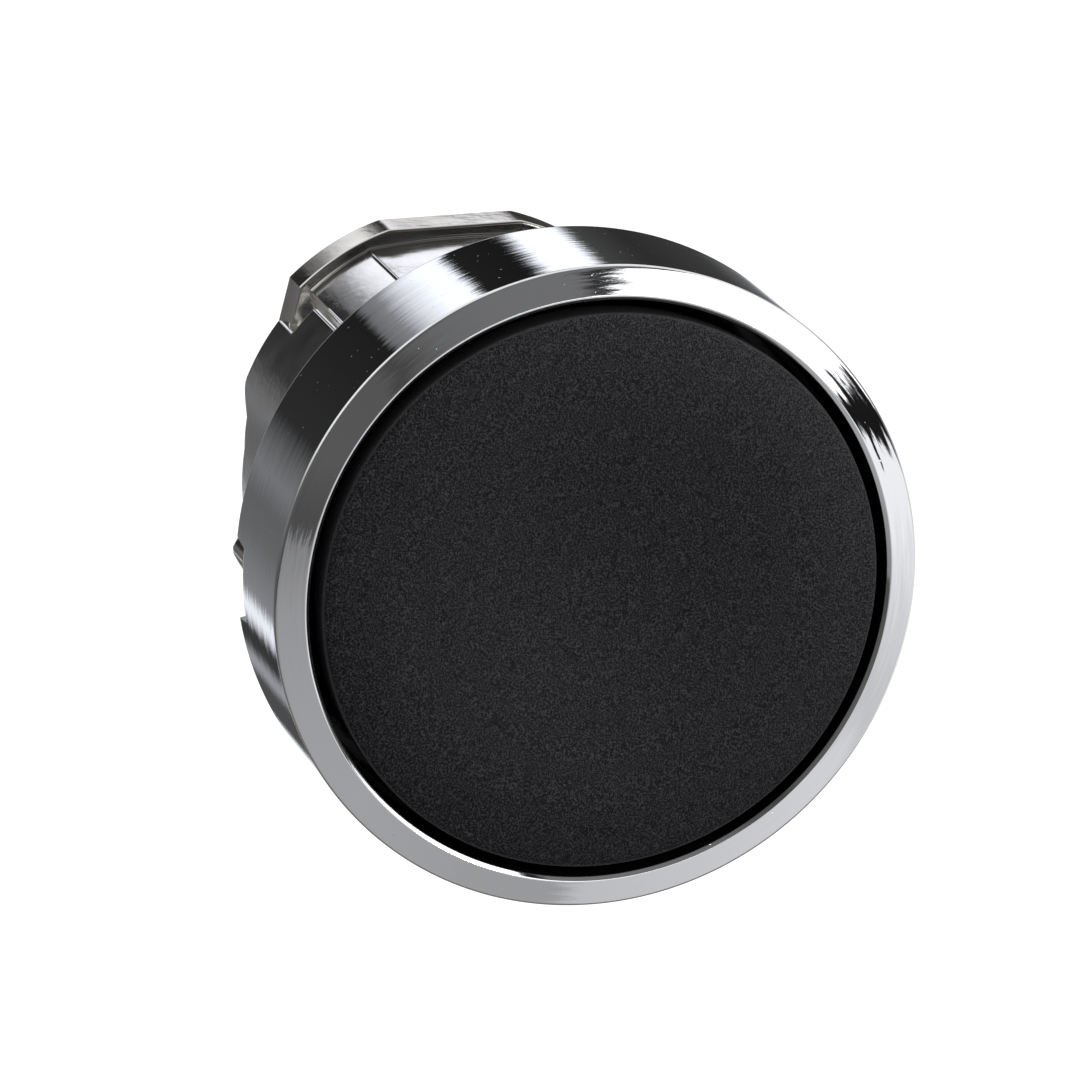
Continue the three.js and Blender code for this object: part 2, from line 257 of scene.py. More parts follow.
# %% Floor and lamp
FLOOR_DROP = 60 * MM
FLOOR_REACH = 3.0
LAMP_PLACE = Vector((0.41, -0.46, 0.236))
LAMP_SIZE = 0.16
LAMP_POWER = 2.7


def floor_paper():
    material = bpy.data.materials.new("floor_paper")
    material.use_nodes = True
    tree = material.node_tree
    shader = tree.nodes["Principled BSDF"]
    for name, value in (("Base Color", grey(0.93)), ("Roughness", 0.9), ("Specular IOR Level", 0.1)):
        shader.inputs[name].default_value = value
    seen_from_below = add_node(tree, "ShaderNodeNewGeometry")["Backfacing"]
    clear = add_node(tree, "ShaderNodeBsdfTransparent")[0]
    one_way = add_node(tree, "ShaderNodeMixShader", {0: seen_from_below, 1: shader.outputs[0], 2: clear})
    feed(tree, tree.nodes["Material Output"].inputs["Surface"], one_way[0])
    return material


def add_floor():
    mesh = bpy.data.meshes.new("floor")
    signs = ((-1, -1), (1, -1), (1, 1), (-1, 1))
    corners = [(x * FLOOR_REACH, y * FLOOR_REACH, -FLOOR_DROP) for x, y in signs]
    mesh.from_pydata(corners, [], [(0, 1, 2, 3)])
    mesh.materials.append(floor_paper())
    floor = new_object("floor", mesh)
    floor.visible_glossy = False


def add_lamp():
    lamp = new_object("soft_lamp", bpy.data.lights.new("soft_lamp", "AREA"))
    lamp.data.size = LAMP_SIZE
    lamp.data.energy = LAMP_POWER
    lamp.location = LAMP_PLACE
    lamp.rotation_euler = LAMP_PLACE.to_track_quat("Z", "Y").to_euler()


add_floor()
add_lamp()
print("floor at", -FLOOR_DROP, "m")

# %% [markdown]
# ## Outlines and lofted pieces
# Most of the button is turned or moulded round, so it is drawn as outlines. An outline is a few corners
# (radius, y, rounding in mm). Each corner becomes a short curve, with one more point just past each end
# of the curve: those points keep the flat stretches truly flat when the mesh is shaded smooth, which
# matters on chrome, where a bent normal is a bent reflection.

# %% Rounded outlines
SUPPORT = 0.03                          # mm from a rounded corner to its support point
SUPPORT_SHARE = 0.3                     # the most of a free stretch that a support point may take
CORNER_SHARE = 0.45                     # the most of a side that a corner's curve may take
CLOSE_STEPS = [tenth / 55 for tenth in (-5, -3, -2, -1, 0, 1, 2, 3, 5)]
LEAST_STEP = 0.0012                     # radians between two steps around the axis


def corner_reaches(corners, closed):
    """How far each corner's curve reaches along its two sides. A bare corner reaches 0."""
    places = [Vector((a, b)) for a, b, rounding in corners]
    count = len(corners)
    reaches = []
    for i, (a, b, rounding) in enumerate(corners):
        before = (places[i - 1] - places[i]).length
        after = (places[(i + 1) % count] - places[i]).length
        bare = not closed and i in (0, count - 1)
        reaches.append(0 if bare else min(rounding, CORNER_SHARE * before, CORNER_SHARE * after))
    return places, reaches


def rounded(corners, closed=True, curve_steps=4):
    """The points of an outline whose corners are (a, b, rounding)."""
    places, reaches = corner_reaches(corners, closed)
    count = len(places)
    points = []
    for i, (here, reach) in enumerate(zip(places, reaches)):
        if reach == 0:
            points.append(here)
            continue
        before = places[i - 1] - here
        after = places[(i + 1) % count] - here
        start = here + before.normalized() * reach
        end = here + after.normalized() * reach
        free_before = before.length - reach - reaches[i - 1]
        free_after = after.length - reach - reaches[(i + 1) % count]
        points.append(start + before.normalized() * min(SUPPORT, SUPPORT_SHARE * free_before))
        for step in range(curve_steps + 1):
            t = step / curve_steps
            points.append(start * (1 - t) ** 2 + here * 2 * t * (1 - t) + end * t ** 2)
        points.append(end + after.normalized() * min(SUPPORT, SUPPORT_SHARE * free_after))
    return [(p.x, p.y) for p in points]


def clean(mesh, merge=0.0):
    """Merges the points of a closed mesh that are less than merge mm apart, and turns its faces outwards."""
    work = bmesh.new()
    work.from_mesh(mesh)
    if merge > 0:
        bmesh.ops.remove_doubles(work, verts=work.verts, dist=merge * MM)
    bmesh.ops.recalc_face_normals(work, faces=work.faces)
    work.to_mesh(mesh)
    work.free()


def lofted(name, angles, corners_at, closed=True, curve_steps=4):
    """A ring-shaped solid that has its own outline at each angle from 12 o'clock, positive towards +X."""
    points = []
    for angle in angles:
        outline = rounded(corners_at(angle), closed, curve_steps)
        points += [Vector((r * math.sin(angle), y, r * math.cos(angle))) * MM for r, y in outline]
    rows = len(outline)
    faces = []
    for column in range(len(angles)):
        here, beside = column * rows, (column + 1) % len(angles) * rows
        for row in range(rows):
            above = (row + 1) % rows
            faces.append((here + row, beside + row, beside + above, here + above))
    mesh = bpy.data.meshes.new(name)
    mesh.from_pydata(points, [], faces)
    clean(mesh)
    mesh.shade_smooth()
    return new_object(name, mesh)


def steps_around(edges, plain, reach):
    """Angles for a loft: even steps, with extra ones close to each angle in edges."""
    angles = {round(2 * math.pi * i / plain - math.pi, 5) for i in range(plain)}
    for edge in edges:
        angles |= {round(edge + reach * step, 5) for step in CLOSE_STEPS}
    ordered = sorted(angles)
    return [a for a, b in zip(ordered, ordered[1:] + [math.inf]) if b - a > LEAST_STEP]


def ease(value, low, high):
    """0 below low, 1 above high, and a smooth rise between."""
    t = min(1, max(0, (value - low) / (high - low)))
    return t * t * (3 - 2 * t)


def inside(angle, start, end, blend):
    """1 between two angles and 0 beyond them, with soft ends about blend wide."""
    half = blend / 2
    return ease(angle, start - half, start + half) * (1 - ease(angle, end - half, end + half))


print("outline helpers ready")

# %% [markdown]
# ## Plated and moulded finishes
# A finish is a colour, a shine and a small relief. The relief matters most: a plated casting keeps faint
# lines and pits, so reflections in it have ragged edges, and a moulded cap has a fine grain that breaks
# up the light. Each relief is a noise read from the piece's own coordinates, so it stays in place when
# the piece moves. For turning lines the noise is stretched around the axis: it reads the direction around
# the axis coarsely, and the distance along the surface finely. On the bright ring each line also leans
# the surface a little to one side, which smears what it mirrors around the axis.

# %% Helpers for finishes


def place_on_piece(tree):
    return add_node(tree, "ShaderNodeTexCoord")["Object"]


def place_parts(tree):
    return add_node(tree, "ShaderNodeSeparateXYZ", {0: place_on_piece(tree)})


def distance_from_axis(tree):
    place = place_parts(tree)
    x_squared = maths(tree, "MULTIPLY", place["X"], place["X"])
    z_squared = maths(tree, "MULTIPLY", place["Z"], place["Z"])
    return maths(tree, "SQRT", maths(tree, "ADD", x_squared, z_squared))


def noise(tree, place, scale, detail, roughness):
    inputs = {"Vector": place, "Scale": scale, "Detail": detail, "Roughness": roughness}
    return add_node(tree, "ShaderNodeTexNoise", inputs)["Fac"]


def grain(tree, scale, detail=3.0, roughness=0.55):
    """A noise that is the same in all directions."""
    return noise(tree, place_on_piece(tree), scale, detail, roughness)


def turning_lines(tree, around, across, detail, roughness):
    """A noise that changes slowly around the Y axis and quickly across the turned surface."""
    place = place_parts(tree)
    radius = distance_from_axis(tree)
    turn = {}
    for socket, value in (("X", place["X"]), ("Y", place["Z"])):
        turn[socket] = maths(tree, "MULTIPLY", maths(tree, "DIVIDE", value, radius), around)
    turn["Z"] = maths(tree, "MULTIPLY", maths(tree, "ADD", radius, place["Y"]), across)
    return noise(tree, add_node(tree, "ShaderNodeCombineXYZ", turn)[0], 1.0, detail, roughness)


def relief(tree, height, depth, under=None):
    """The surface direction with bumps of a depth in mm; under is the relief that they are laid on."""
    inputs = {"Strength": 1.0, "Distance": depth * MM, "Height": height}
    if under is not None:
        inputs["Normal"] = under
    return add_node(tree, "ShaderNodeBump", inputs)[0]


def swept_normal(tree, lines, lean):
    """The surface direction, leaning around the Y axis by its own amount in each turning line."""
    around = vectors(tree, "NORMALIZE", vectors(tree, "CROSS_PRODUCT", place_on_piece(tree), (0, 1, 0)))
    amount = maths(tree, "MULTIPLY", scaled(tree, lines, 0.0, 1.0, -1.0, 1.0), lean)
    leaning = add_node(tree, "ShaderNodeVectorMath", {0: around, "Scale": amount}, operation="SCALE")[0]
    upright = add_node(tree, "ShaderNodeNewGeometry")["Normal"]
    return vectors(tree, "NORMALIZE", vectors(tree, "ADD", upright, leaning))


print("finish helpers ready")

# %% [markdown]
# ## Metals
# Each finish is a recipe: it adds its own nodes and says which value goes into which input of the shader.
# The lean of the bright ring's turning lines grows towards the right of its front face.

# %% Bright chrome, satin chrome and steel
CHROME = (0.80, 0.805, 0.81, 1)
MOUTH_WALL_SHADE = (0.02, 0.02, 0.021, 1)   # painted shade: the wall inside the mouth is painted near black
MOUTH_WALL_DULLNESS = 0.45
SKIRT_LEAN = 0.04
CONE_LEAN = (0.04, 0.10)                # on the left and on the right of the front face
SKIRT_FROM = (14.3 * MM, 14.45 * MM)
WALL_FROM = (13.07 * MM, 13.04 * MM)


def bright_chrome(tree):
    radius = distance_from_axis(tree)
    cone_lean = scaled(tree, place_parts(tree)["X"], 5 * MM, 10 * MM, *CONE_LEAN)
    lean = scaled(tree, radius, *SKIRT_FROM, cone_lean, SKIRT_LEAN)
    surface = swept_normal(tree, turning_lines(tree, 4, 5000, 4.0, 0.6), lean)
    surface = relief(tree, turning_lines(tree, 12, 3600, 5.0, 0.65), 0.003, surface)
    haze = grain(tree, 260)
    handled = scaled(tree, haze, 0.52, 0.66)
    scuffs = maths(tree, "MULTIPLY", grain(tree, 7000, 4.0, 0.7), handled)
    surface = relief(tree, scuffs, 0.0011, surface)
    between_pits = scaled(tree, grain(tree, 5200, 1.0), 0.79, 0.83, 1.0, 0.0)
    # painted shade: inside the mouth the colour turns near black; the roughness also rises there
    bare = scaled(tree, radius, *WALL_FROM)
    dullness = maths(tree, "MULTIPLY", bare, MOUTH_WALL_DULLNESS)
    return {
        "Normal": relief(tree, between_pits, 0.01, surface),
        "Base Color": blended(tree, bare, CHROME, MOUTH_WALL_SHADE),
        "Roughness": maths(tree, "ADD", scaled(tree, haze, 0.35, 0.75, 0.012, 0.035), dullness),
    }


FLANGE_FACE = 16.3 * MM                 # the face in front of the flange; a narrow band before it gets painted shade
RECESS_SHADE = (0.16, 0.16, 0.155, 1)
REAR_TONE = (0.76, 0.72, 0.65, 1)       # the colour turns darker and warmer towards the rear


def satin_chrome(tree):
    surface = relief(tree, grain(tree, 2600), 0.006)
    haze = grain(tree, 420)
    tint = blended(tree, haze, grey(0.80), (0.74, 0.72, 0.69, 1))
    place = place_parts(tree)
    # painted shade: a narrow band just in front of the flange face, near the top, is darkened
    recess = scaled(tree, place["Y"], FLANGE_FACE - 0.25 * MM, FLANGE_FACE - 0.1 * MM)
    before_face = scaled(tree, place["Y"], FLANGE_FACE + 0.08 * MM, FLANGE_FACE)
    near_top = scaled(tree, maths(tree, "ABSOLUTE", place["X"]), 6.6 * MM, 5.0 * MM)
    for limit in (before_face, near_top):
        recess = maths(tree, "MULTIPLY", recess, limit)
    tint = blended(tree, recess, tint, RECESS_SHADE)
    # the colour turns darker and warmer towards the rear of the barrel
    rear_share = scaled(tree, place["Y"], 15.4 * MM, 17.5 * MM)
    tint = blended(tree, rear_share, tint, REAR_TONE, "MULTIPLY")
    # painted shade: the front of the barrel, inside the bezel, is painted near black
    hidden = scaled(tree, place["Y"], -0.9 * MM, -1.1 * MM)
    return {
        "Normal": relief(tree, turning_lines(tree, 6, 400, 3.0, 0.55), 0.02, surface),
        "Base Color": blended(tree, hidden, tint, grey(0.01)),
        "Roughness": scaled(tree, haze, 0.3, 0.75, 0.10, 0.18),
    }


def mottled(tree, skin, depth, tones, roughness):
    """One noise sets the bumps, of a depth in mm, the tone between two colours, and the roughness."""
    return {
        "Normal": relief(tree, skin, depth),
        "Base Color": blended(tree, skin, *tones),
        "Roughness": scaled(tree, skin, 0.3, 0.7, *roughness),
    }


def spring_steel(tree):
    tones = ((0.36, 0.365, 0.38, 1), (0.50, 0.49, 0.47, 1))
    return mottled(tree, grain(tree, 2400, 4.0), 0.006, tones, (0.22, 0.42))


def zinc_plate(tree):
    tones = ((0.55, 0.57, 0.61, 1), (0.70, 0.69, 0.65, 1))
    return mottled(tree, grain(tree, 1500, 4.0), 0.006, tones, (0.26, 0.44))


print("metal recipes ready")

# %% [markdown]
# ## Plastics and rubber
# The cap is a dark moulding with a fine etched grain on a broad, faint swell. Its colour is almost black
# and slightly blue, with lighter specks painted in as glints and a painted highlight along its rounded edge,
# and its facets shine by different amounts. Rubber is duller and has a dusty bloom. The white bearing
# plastic lets a little light into itself.

# %% Plastics and rubber
CAP_GRAIN = 12500
CAP_DARK = (0.0012, 0.0013, 0.0022, 1)
CAP_PAINTED_GLINT = (0.014, 0.014, 0.018, 1)
CAP_EDGE_HIGHLIGHT = (0.016, 0.016, 0.017, 1)


def cap_plastic(tree):
    pebbles = grain(tree, CAP_GRAIN, 2.0, 0.8)
    facets = grain(tree, CAP_GRAIN, 1.0, 0.5)
    surface = relief(tree, pebbles, 0.050)
    # painted glints: lighter specks in the colour where the facet noise is high
    tone = blended(tree, scaled(tree, facets, 0.5, 0.75), CAP_DARK, CAP_PAINTED_GLINT)
    # painted highlight: the cap's rounded edge and side are given a lighter colour
    edge = scaled(tree, distance_from_axis(tree), 12.40 * MM, 12.48 * MM)
    return {
        "Normal": relief(tree, grain(tree, 1500, 2.0), 0.008, surface),
        "Base Color": blended(tree, edge, tone, CAP_EDGE_HIGHLIGHT),
        "Roughness": scaled(tree, pebbles, 0.35, 0.65, 0.27, 0.42),
        "Specular IOR Level": scaled(tree, facets, 0.38, 0.66, 0.10, 0.30),
    }


def black_rubber(tree):
    bloom = grain(tree, 380)
    return {
        "Normal": relief(tree, grain(tree, 2200), 0.012),
        "Base Color": blended(tree, bloom, grey(0.009), (0.02, 0.02, 0.021, 1)),
        "Roughness": scaled(tree, bloom, 0.3, 0.7, 0.68, 0.9),
        "Specular IOR Level": 0.3,
    }


def black_nylon(tree):
    tones = ((0.012, 0.012, 0.014, 1), (0.021, 0.021, 0.023, 1))
    return mottled(tree, grain(tree, 3000, 2.0), 0.012, tones, (0.4, 0.6))


def white_acetal(tree):
    skin = grain(tree, 1800, 2.0)
    return {
        "Normal": relief(tree, skin, 0.008),
        "Base Color": blended(tree, grain(tree, 240), (0.60, 0.585, 0.54, 1), (0.68, 0.67, 0.63, 1)),
        "Roughness": scaled(tree, skin, 0.3, 0.7, 0.34, 0.5),
        "Subsurface Weight": 0.15,
        "Subsurface Scale": 0.5 * MM,
    }


def made_finish(recipe, colour, metallic, roughness):
    """A material named after its recipe. The plain values are what a viewer without nodes shows."""
    material = bpy.data.materials.new(recipe.__name__)
    material.use_nodes = True
    tree = material.node_tree
    shader = tree.nodes["Principled BSDF"]
    for name, value in (("Base Color", (*colour, 1)), ("Metallic", metallic), ("Roughness", roughness)):
        shader.inputs[name].default_value = value
    for name, value in recipe(tree).items():
        feed(tree, shader.inputs[name], value)
    return material


RECIPES = [
    (bright_chrome, (0.80, 0.805, 0.81), 1.0, 0.03),
    (satin_chrome, (0.78, 0.78, 0.775), 1.0, 0.12),
    (spring_steel, (0.42, 0.42, 0.43), 1.0, 0.3),
    (zinc_plate, (0.62, 0.63, 0.65), 1.0, 0.32),
    (cap_plastic, (0.005, 0.005, 0.006), 0.0, 0.4),
    (black_rubber, (0.012, 0.012, 0.012), 0.0, 0.8),
    (black_nylon, (0.016, 0.016, 0.018), 0.0, 0.5),
    (white_acetal, (0.80, 0.79, 0.74), 0.0, 0.4),
]
FINISH = {recipe[0].__name__: made_finish(*recipe) for recipe in RECIPES}
print("finishes:", ", ".join(FINISH))

# %% [markdown]
# ## Fitting a piece to the frame
# Every new piece gets its finish, rides on the body that it belongs to, and stands for the plain node
# whose place it takes. One helper does all three, and prints how many triangles the piece has.

# %% Fit a piece


def fit(piece, finish, body, node):
    piece.data.materials.clear()
    piece.data.materials.append(FINISH[finish])
    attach(piece, body)
    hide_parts(node)
    triangles = sum(len(face.vertices) - 2 for face in piece.data.polygons)
    print(piece.name, "has", triangles, "triangles")
    return piece


# %% [markdown]
# ## Bezel
# The bezel is the bright ring that the whole button is known by. On the real object it is die-cast or
# turned, then polished and plated. Its front face is a shallow cone that rises inwards, with a fine bevel
# at the mouth. A small slot in the skirt's rear edge, at 9 o'clock, lets a blade lift the ring off the
# barrel. It is made as one closed outline for each step around the axis: the steps that fall in the slot
# simply start further forward, so the slot needs no cutting.

# %% Bezel
BEZEL_R = 14.5
RIM_INNER_R = 13.23
RIM_RISE = 0.44
MOUTH_R = 13.03
MOUTH_BEVEL = 0.14
SKIRT_BORE_R = 13.5
SKIRT_BORE_DEPTH = 3.4
NOTCH_WIDTH = 3.55
NOTCH_DEPTH = 1.3
NOTCH_LIFT = -0.3
EDGE = 0.13                             # softness of the plated edges
NOTCH_MIDDLE = -math.pi / 2 + NOTCH_LIFT / BEZEL_R
NOTCH_HALF = NOTCH_WIDTH / 2 / BEZEL_R


def bezel_corners(angle):
    rear = -NOTCH_DEPTH * inside(angle, NOTCH_MIDDLE - NOTCH_HALF, NOTCH_MIDDLE + NOTCH_HALF, 0.014)
    return [
        (BEZEL_R, rear, 0.12),
        (BEZEL_R, -SKIRT_DEPTH, EDGE),
        (RIM_INNER_R, -SKIRT_DEPTH - RIM_RISE, 0.05),
        (MOUTH_R, -SKIRT_DEPTH - RIM_RISE + MOUTH_BEVEL, 0.05),
        (MOUTH_R, -SKIRT_BORE_DEPTH, 0.05),
        (SKIRT_BORE_R, -SKIRT_BORE_DEPTH, 0.05),
        (SKIRT_BORE_R, rear, 0.08),
    ]


bezel_angles = steps_around((NOTCH_MIDDLE - NOTCH_HALF, NOTCH_MIDDLE + NOTCH_HALF), 360, 0.12)
fit(lofted("bright_bezel", bezel_angles, bezel_corners), "bright_chrome", "head", "bezel")

# %% [markdown]
# ## Push cap
# The face of the cap follows a rule, so Geometry Nodes make it: a flat sheet of rows and columns is
# wrapped into a round face, and each point's height comes from its distance from the axis. The face
# swells to a crest three quarters of the way out and falls to a shallow dish in the middle, where a
# fingertip rests. The same sheet goes on around the edge and across the back, and its ends are merged
# into a closed solid.

# %% Node trees that make shapes


def shape_tree(name, inputs):
    """A Geometry Nodes tree with named inputs, each given as (name, socket type)."""
    tree = bpy.data.node_groups.new(name, "GeometryNodeTree")
    for label, kind in [("Geometry", "Geometry")] + inputs + [("Finish", "Material")]:
        tree.interface.new_socket(label, in_out="INPUT", socket_type="NodeSocket" + kind)
    tree.interface.new_socket("Geometry", in_out="OUTPUT", socket_type="NodeSocketGeometry")
    return tree, add_node(tree, "NodeGroupInput")


def end_tree(tree, geometry, given):
    """Ends a tree with Realize Instances and Set Material."""
    real = add_node(tree, "GeometryNodeRealizeInstances", {0: geometry})[0]
    coat = add_node(tree, "GeometryNodeSetMaterial", {"Geometry": real, "Material": given["Finish"]})
    add_node(tree, "NodeGroupOutput", {0: coat[0]})
    return tree


def run_tree(name, tree, section, values):
    """Gives a line of (radius, y) points in mm to a tree, and returns the result as a closed mesh object."""
    mesh = bpy.data.meshes.new(name + "_section")
    points = [(r * MM, y * MM, 0) for r, y in section]
    mesh.from_pydata(points, [(i, i + 1) for i in range(len(points) - 1)], [])
    line = new_object(name + "_section", mesh)
    modifier = line.modifiers.new(tree.name, "NODES")
    modifier.node_group = tree
    for item in tree.interface.items_tree:
        if item.in_out == "INPUT" and item.name in values:
            modifier[item.identifier] = values[item.name]
    graph = bpy.context.evaluated_depsgraph_get()
    result = bpy.data.meshes.new_from_object(line.evaluated_get(graph))
    result.name = name
    line.modifiers.remove(modifier)
    bpy.data.objects.remove(line)
    clean(result)
    result.shade_smooth()
    return new_object(name, result)


def point_around(tree, radius, angle, y):
    """A place at a radius and an angle from 12 o'clock, positive towards +X."""
    return add_node(tree, "ShaderNodeCombineXYZ", {
        "X": maths(tree, "MULTIPLY", radius, maths(tree, "SINE", angle)),
        "Y": y,
        "Z": maths(tree, "MULTIPLY", radius, maths(tree, "COSINE", angle)),
    })[0]


def turning_tree():
    """Copies a half section around the Y axis and closes it."""
    tree, given = shape_tree("turn_about_y", [("Rows", "Int"), ("Steps", "Int")])
    columns = maths(tree, "ADD", given["Steps"], 1)
    sheet = add_node(tree, "GeometryNodeMeshGrid", {"Vertices X": columns, "Vertices Y": given["Rows"]})
    index = add_node(tree, "GeometryNodeInputIndex")[0]
    column = maths(tree, "FLOOR", maths(tree, "DIVIDE", index, given["Rows"]))
    row = maths(tree, "MODULO", index, given["Rows"])
    angle = maths(tree, "MULTIPLY", maths(tree, "DIVIDE", column, given["Steps"]), 2 * math.pi)
    position = add_node(tree, "GeometryNodeInputPosition")[0]
    inputs = {"Geometry": given["Geometry"], "Value": position, "Index": row}
    drawn = add_node(tree, "GeometryNodeSampleIndex", inputs, data_type="FLOAT_VECTOR")["Value"]
    point = add_node(tree, "ShaderNodeSeparateXYZ", {0: drawn})
    place = point_around(tree, point["X"], angle, point["Y"])
    wrapped = add_node(tree, "GeometryNodeSetPosition", {"Geometry": sheet["Mesh"], "Position": place})[0]
    merged = add_node(tree, "GeometryNodeMergeByDistance", {"Geometry": wrapped, "Distance": 0.002 * MM})
    return end_tree(tree, merged[0], given)


TURN = turning_tree()


def turned(name, section, finish, steps=128):
    """A turned piece from its section, a list of (radius, y) in mm."""
    return run_tree(name, TURN, section, {"Rows": len(section), "Steps": steps, "Finish": FINISH[finish]})


print("shape helpers ready")

# %% Push cap
CAP_R = 12.52
CAP_EDGE = -7.66
CAP_EDGE_SOFT = 0.16
CAP_CREST_R = 9.4
CAP_CREST = -7.95
CAP_DISH = -7.45
CAP_RIM_REAR = -6.1
CAP_WEB_REAR = -6.3
CAP_HUB_R = 4.25
CAP_HUB_REAR = -2.3
CAP_HUB_BORE_R = 3.2
DISH_STEPS = 40
FALL_STEPS = 16


def cap_section():
    """The cap's half section, from the middle of its face to the middle of its back."""
    section = []
    for i in range(DISH_STEPS + 1):
        t = i / DISH_STEPS
        section.append((CAP_CREST_R * t, CAP_DISH + (CAP_CREST - CAP_DISH) * ease(t, 0, 1)))
    reach = CAP_R - CAP_EDGE_SOFT - CAP_CREST_R
    for i in range(1, FALL_STEPS + 1):
        t = i / FALL_STEPS
        section.append((CAP_CREST_R + reach * t, CAP_CREST + (CAP_EDGE - CAP_CREST) * t * t))
    back = rounded([
        (CAP_R - CAP_EDGE_SOFT, CAP_EDGE, 0),
        (CAP_R, CAP_EDGE + 0.10, 0.08),
        (CAP_R, CAP_RIM_REAR, 0.12),
        (11.3, CAP_RIM_REAR, 0.08),
        (11.2, CAP_WEB_REAR, 0.05),
        (CAP_HUB_R, CAP_WEB_REAR, 0.12),
        (CAP_HUB_R, CAP_HUB_REAR, 0.15),
        (CAP_HUB_BORE_R, CAP_HUB_REAR, 0.15),
        (CAP_HUB_BORE_R, CAP_WEB_REAR, 0.12),
        (0, CAP_WEB_REAR, 0),
    ], closed=False)
    return section + back[1:]


fit(turned("dished_cap", cap_section(), "cap_plastic", 240), "cap_plastic", "button", "push_cap")

# %% [markdown]
# ## Barrel
# The barrel is a zinc die casting, satin chromed, and it has no single outline: around 12 o'clock a
# lowered land steps down from the full diameter, two lobes reach back on its sides, and bayonet ears
# stand on the rear flange. Seen at any one angle, though, it is only a staircase of radii from front to
# rear. So each step around the axis gets its own staircase, and where two differ, the radius changes over
# a fraction of a millimetre. That gives every riser the soft corners of a casting, and the piece stays
# one closed skin.

# %% Barrel
BARREL_R = 11.05
SHOULDER_R = 13.25
SHOULDER_FRONT = -1.95
SHOULDER_REAR = -1.15
RELIEF_R = 10.5
RELIEF_FRONT = 3.6
RELIEF_HALF = math.radians(42.4)
LAND_HALF = math.radians(23.7)
LAND_TOP = 9.95
LAND_CROWN = 33.0                       # radius of the land's gentle crown
BODY_REAR = 12.96
LOBE_FROM = math.radians(50)
LOBE_FADE = math.radians(67)            # where the lobe's rear edge starts to sweep forward
LOBE_TO = math.radians(77.5)
LOBE_REAR = 15.46
NECK_R = 9.6
FLANGE_FRONT = 16.26
FLANGE_REAR = 18.46
TOP_EAR_R = 10.95
TOP_EAR_HALF = math.radians(42.3)
TOP_EAR_FLAT_Z = 10.5
TOP_EAR_LIMIT = math.radians(60)
EAR_TIP = (7.9, 6.1)                    # the ear's ends drop almost straight down to these tips
LOW_EAR_R = 11.3
LOW_EAR_FROM = math.radians(112)
LOW_EAR_TO = math.radians(140)
KEY_SLOT_HALF = 1.7
KEY_SLOT_Z = 9.65
KEY_SLOT_REAR = 3.5
KEY_SLOT_ANGLE = KEY_SLOT_HALF / BARREL_R
FRONT_BORE_R = 9.0
BODY_BORE_R = 7.85
REAR_BORE_R = 8.4
RING_GROOVE_R = 8.85
RISER = 0.056                           # how wide, in radians, a change of radius is
STEP = 0.04                             # how far, in mm, a change of radius leans


def land_radius(angle):
    """Radius of the lowered land: a nearly flat crown on top, a fine step at its edges, then the relief."""
    drop = LAND_CROWN - LAND_TOP
    lean = drop * math.cos(angle)
    crown = math.sqrt(lean * lean + LAND_CROWN ** 2 - drop ** 2) - lean
    share = inside(abs(angle), -1, LAND_HALF, 0.01)
    return RELIEF_R + (crown - RELIEF_R) * share


def flat_radius(height, angle, lowest_cosine=0.2):
    """Radius of a flat that lies at a height above the axis."""
    return height / max(lowest_cosine, math.cos(angle))


def ear_radius(side):
    """Radius of the ear at 12 o'clock: a flat on top, an arc, then an end that drops to the tip."""
    corner = (TOP_EAR_R * math.sin(TOP_EAR_HALF), TOP_EAR_R * math.cos(TOP_EAR_HALF))
    across, down = EAR_TIP[0] - corner[0], corner[1] - EAR_TIP[1]
    reach = down * corner[0] + across * corner[1]
    end = reach / (down * math.sin(side) + across * math.cos(side))
    return max(NECK_R, min(TOP_EAR_R, flat_radius(TOP_EAR_FLAT_Z, side), end))


def barrel_radii(angle):
    """The radius of each stretch of the barrel at an angle, from the shoulder to the rear flange."""
    side = abs(angle)
    relief_share = inside(side, -1, RELIEF_HALF, RISER)
    body = BARREL_R + (land_radius(angle) - BARREL_R) * relief_share
    lobe = inside(side, LOBE_FROM, LOBE_TO, RISER)
    deck = NECK_R + (land_radius(angle) - NECK_R) * relief_share
    behind_body = deck + (BARREL_R - deck) * lobe
    lobe_rear = LOBE_REAR - (LOBE_REAR - BODY_REAR - 0.1) * ease(side, LOBE_FADE, LOBE_TO)
    flange = ear_radius(side) if side < TOP_EAR_LIMIT else NECK_R
    flange += (LOW_EAR_R - NECK_R) * inside(side, LOW_EAR_FROM, LOW_EAR_TO, 0.12)
    slot = inside(angle, -KEY_SLOT_ANGLE, KEY_SLOT_ANGLE, 0.012)
    slotted = BARREL_R + (flat_radius(KEY_SLOT_Z, angle) - BARREL_R) * slot
    return slotted, body, behind_body, lobe_rear, deck, flange


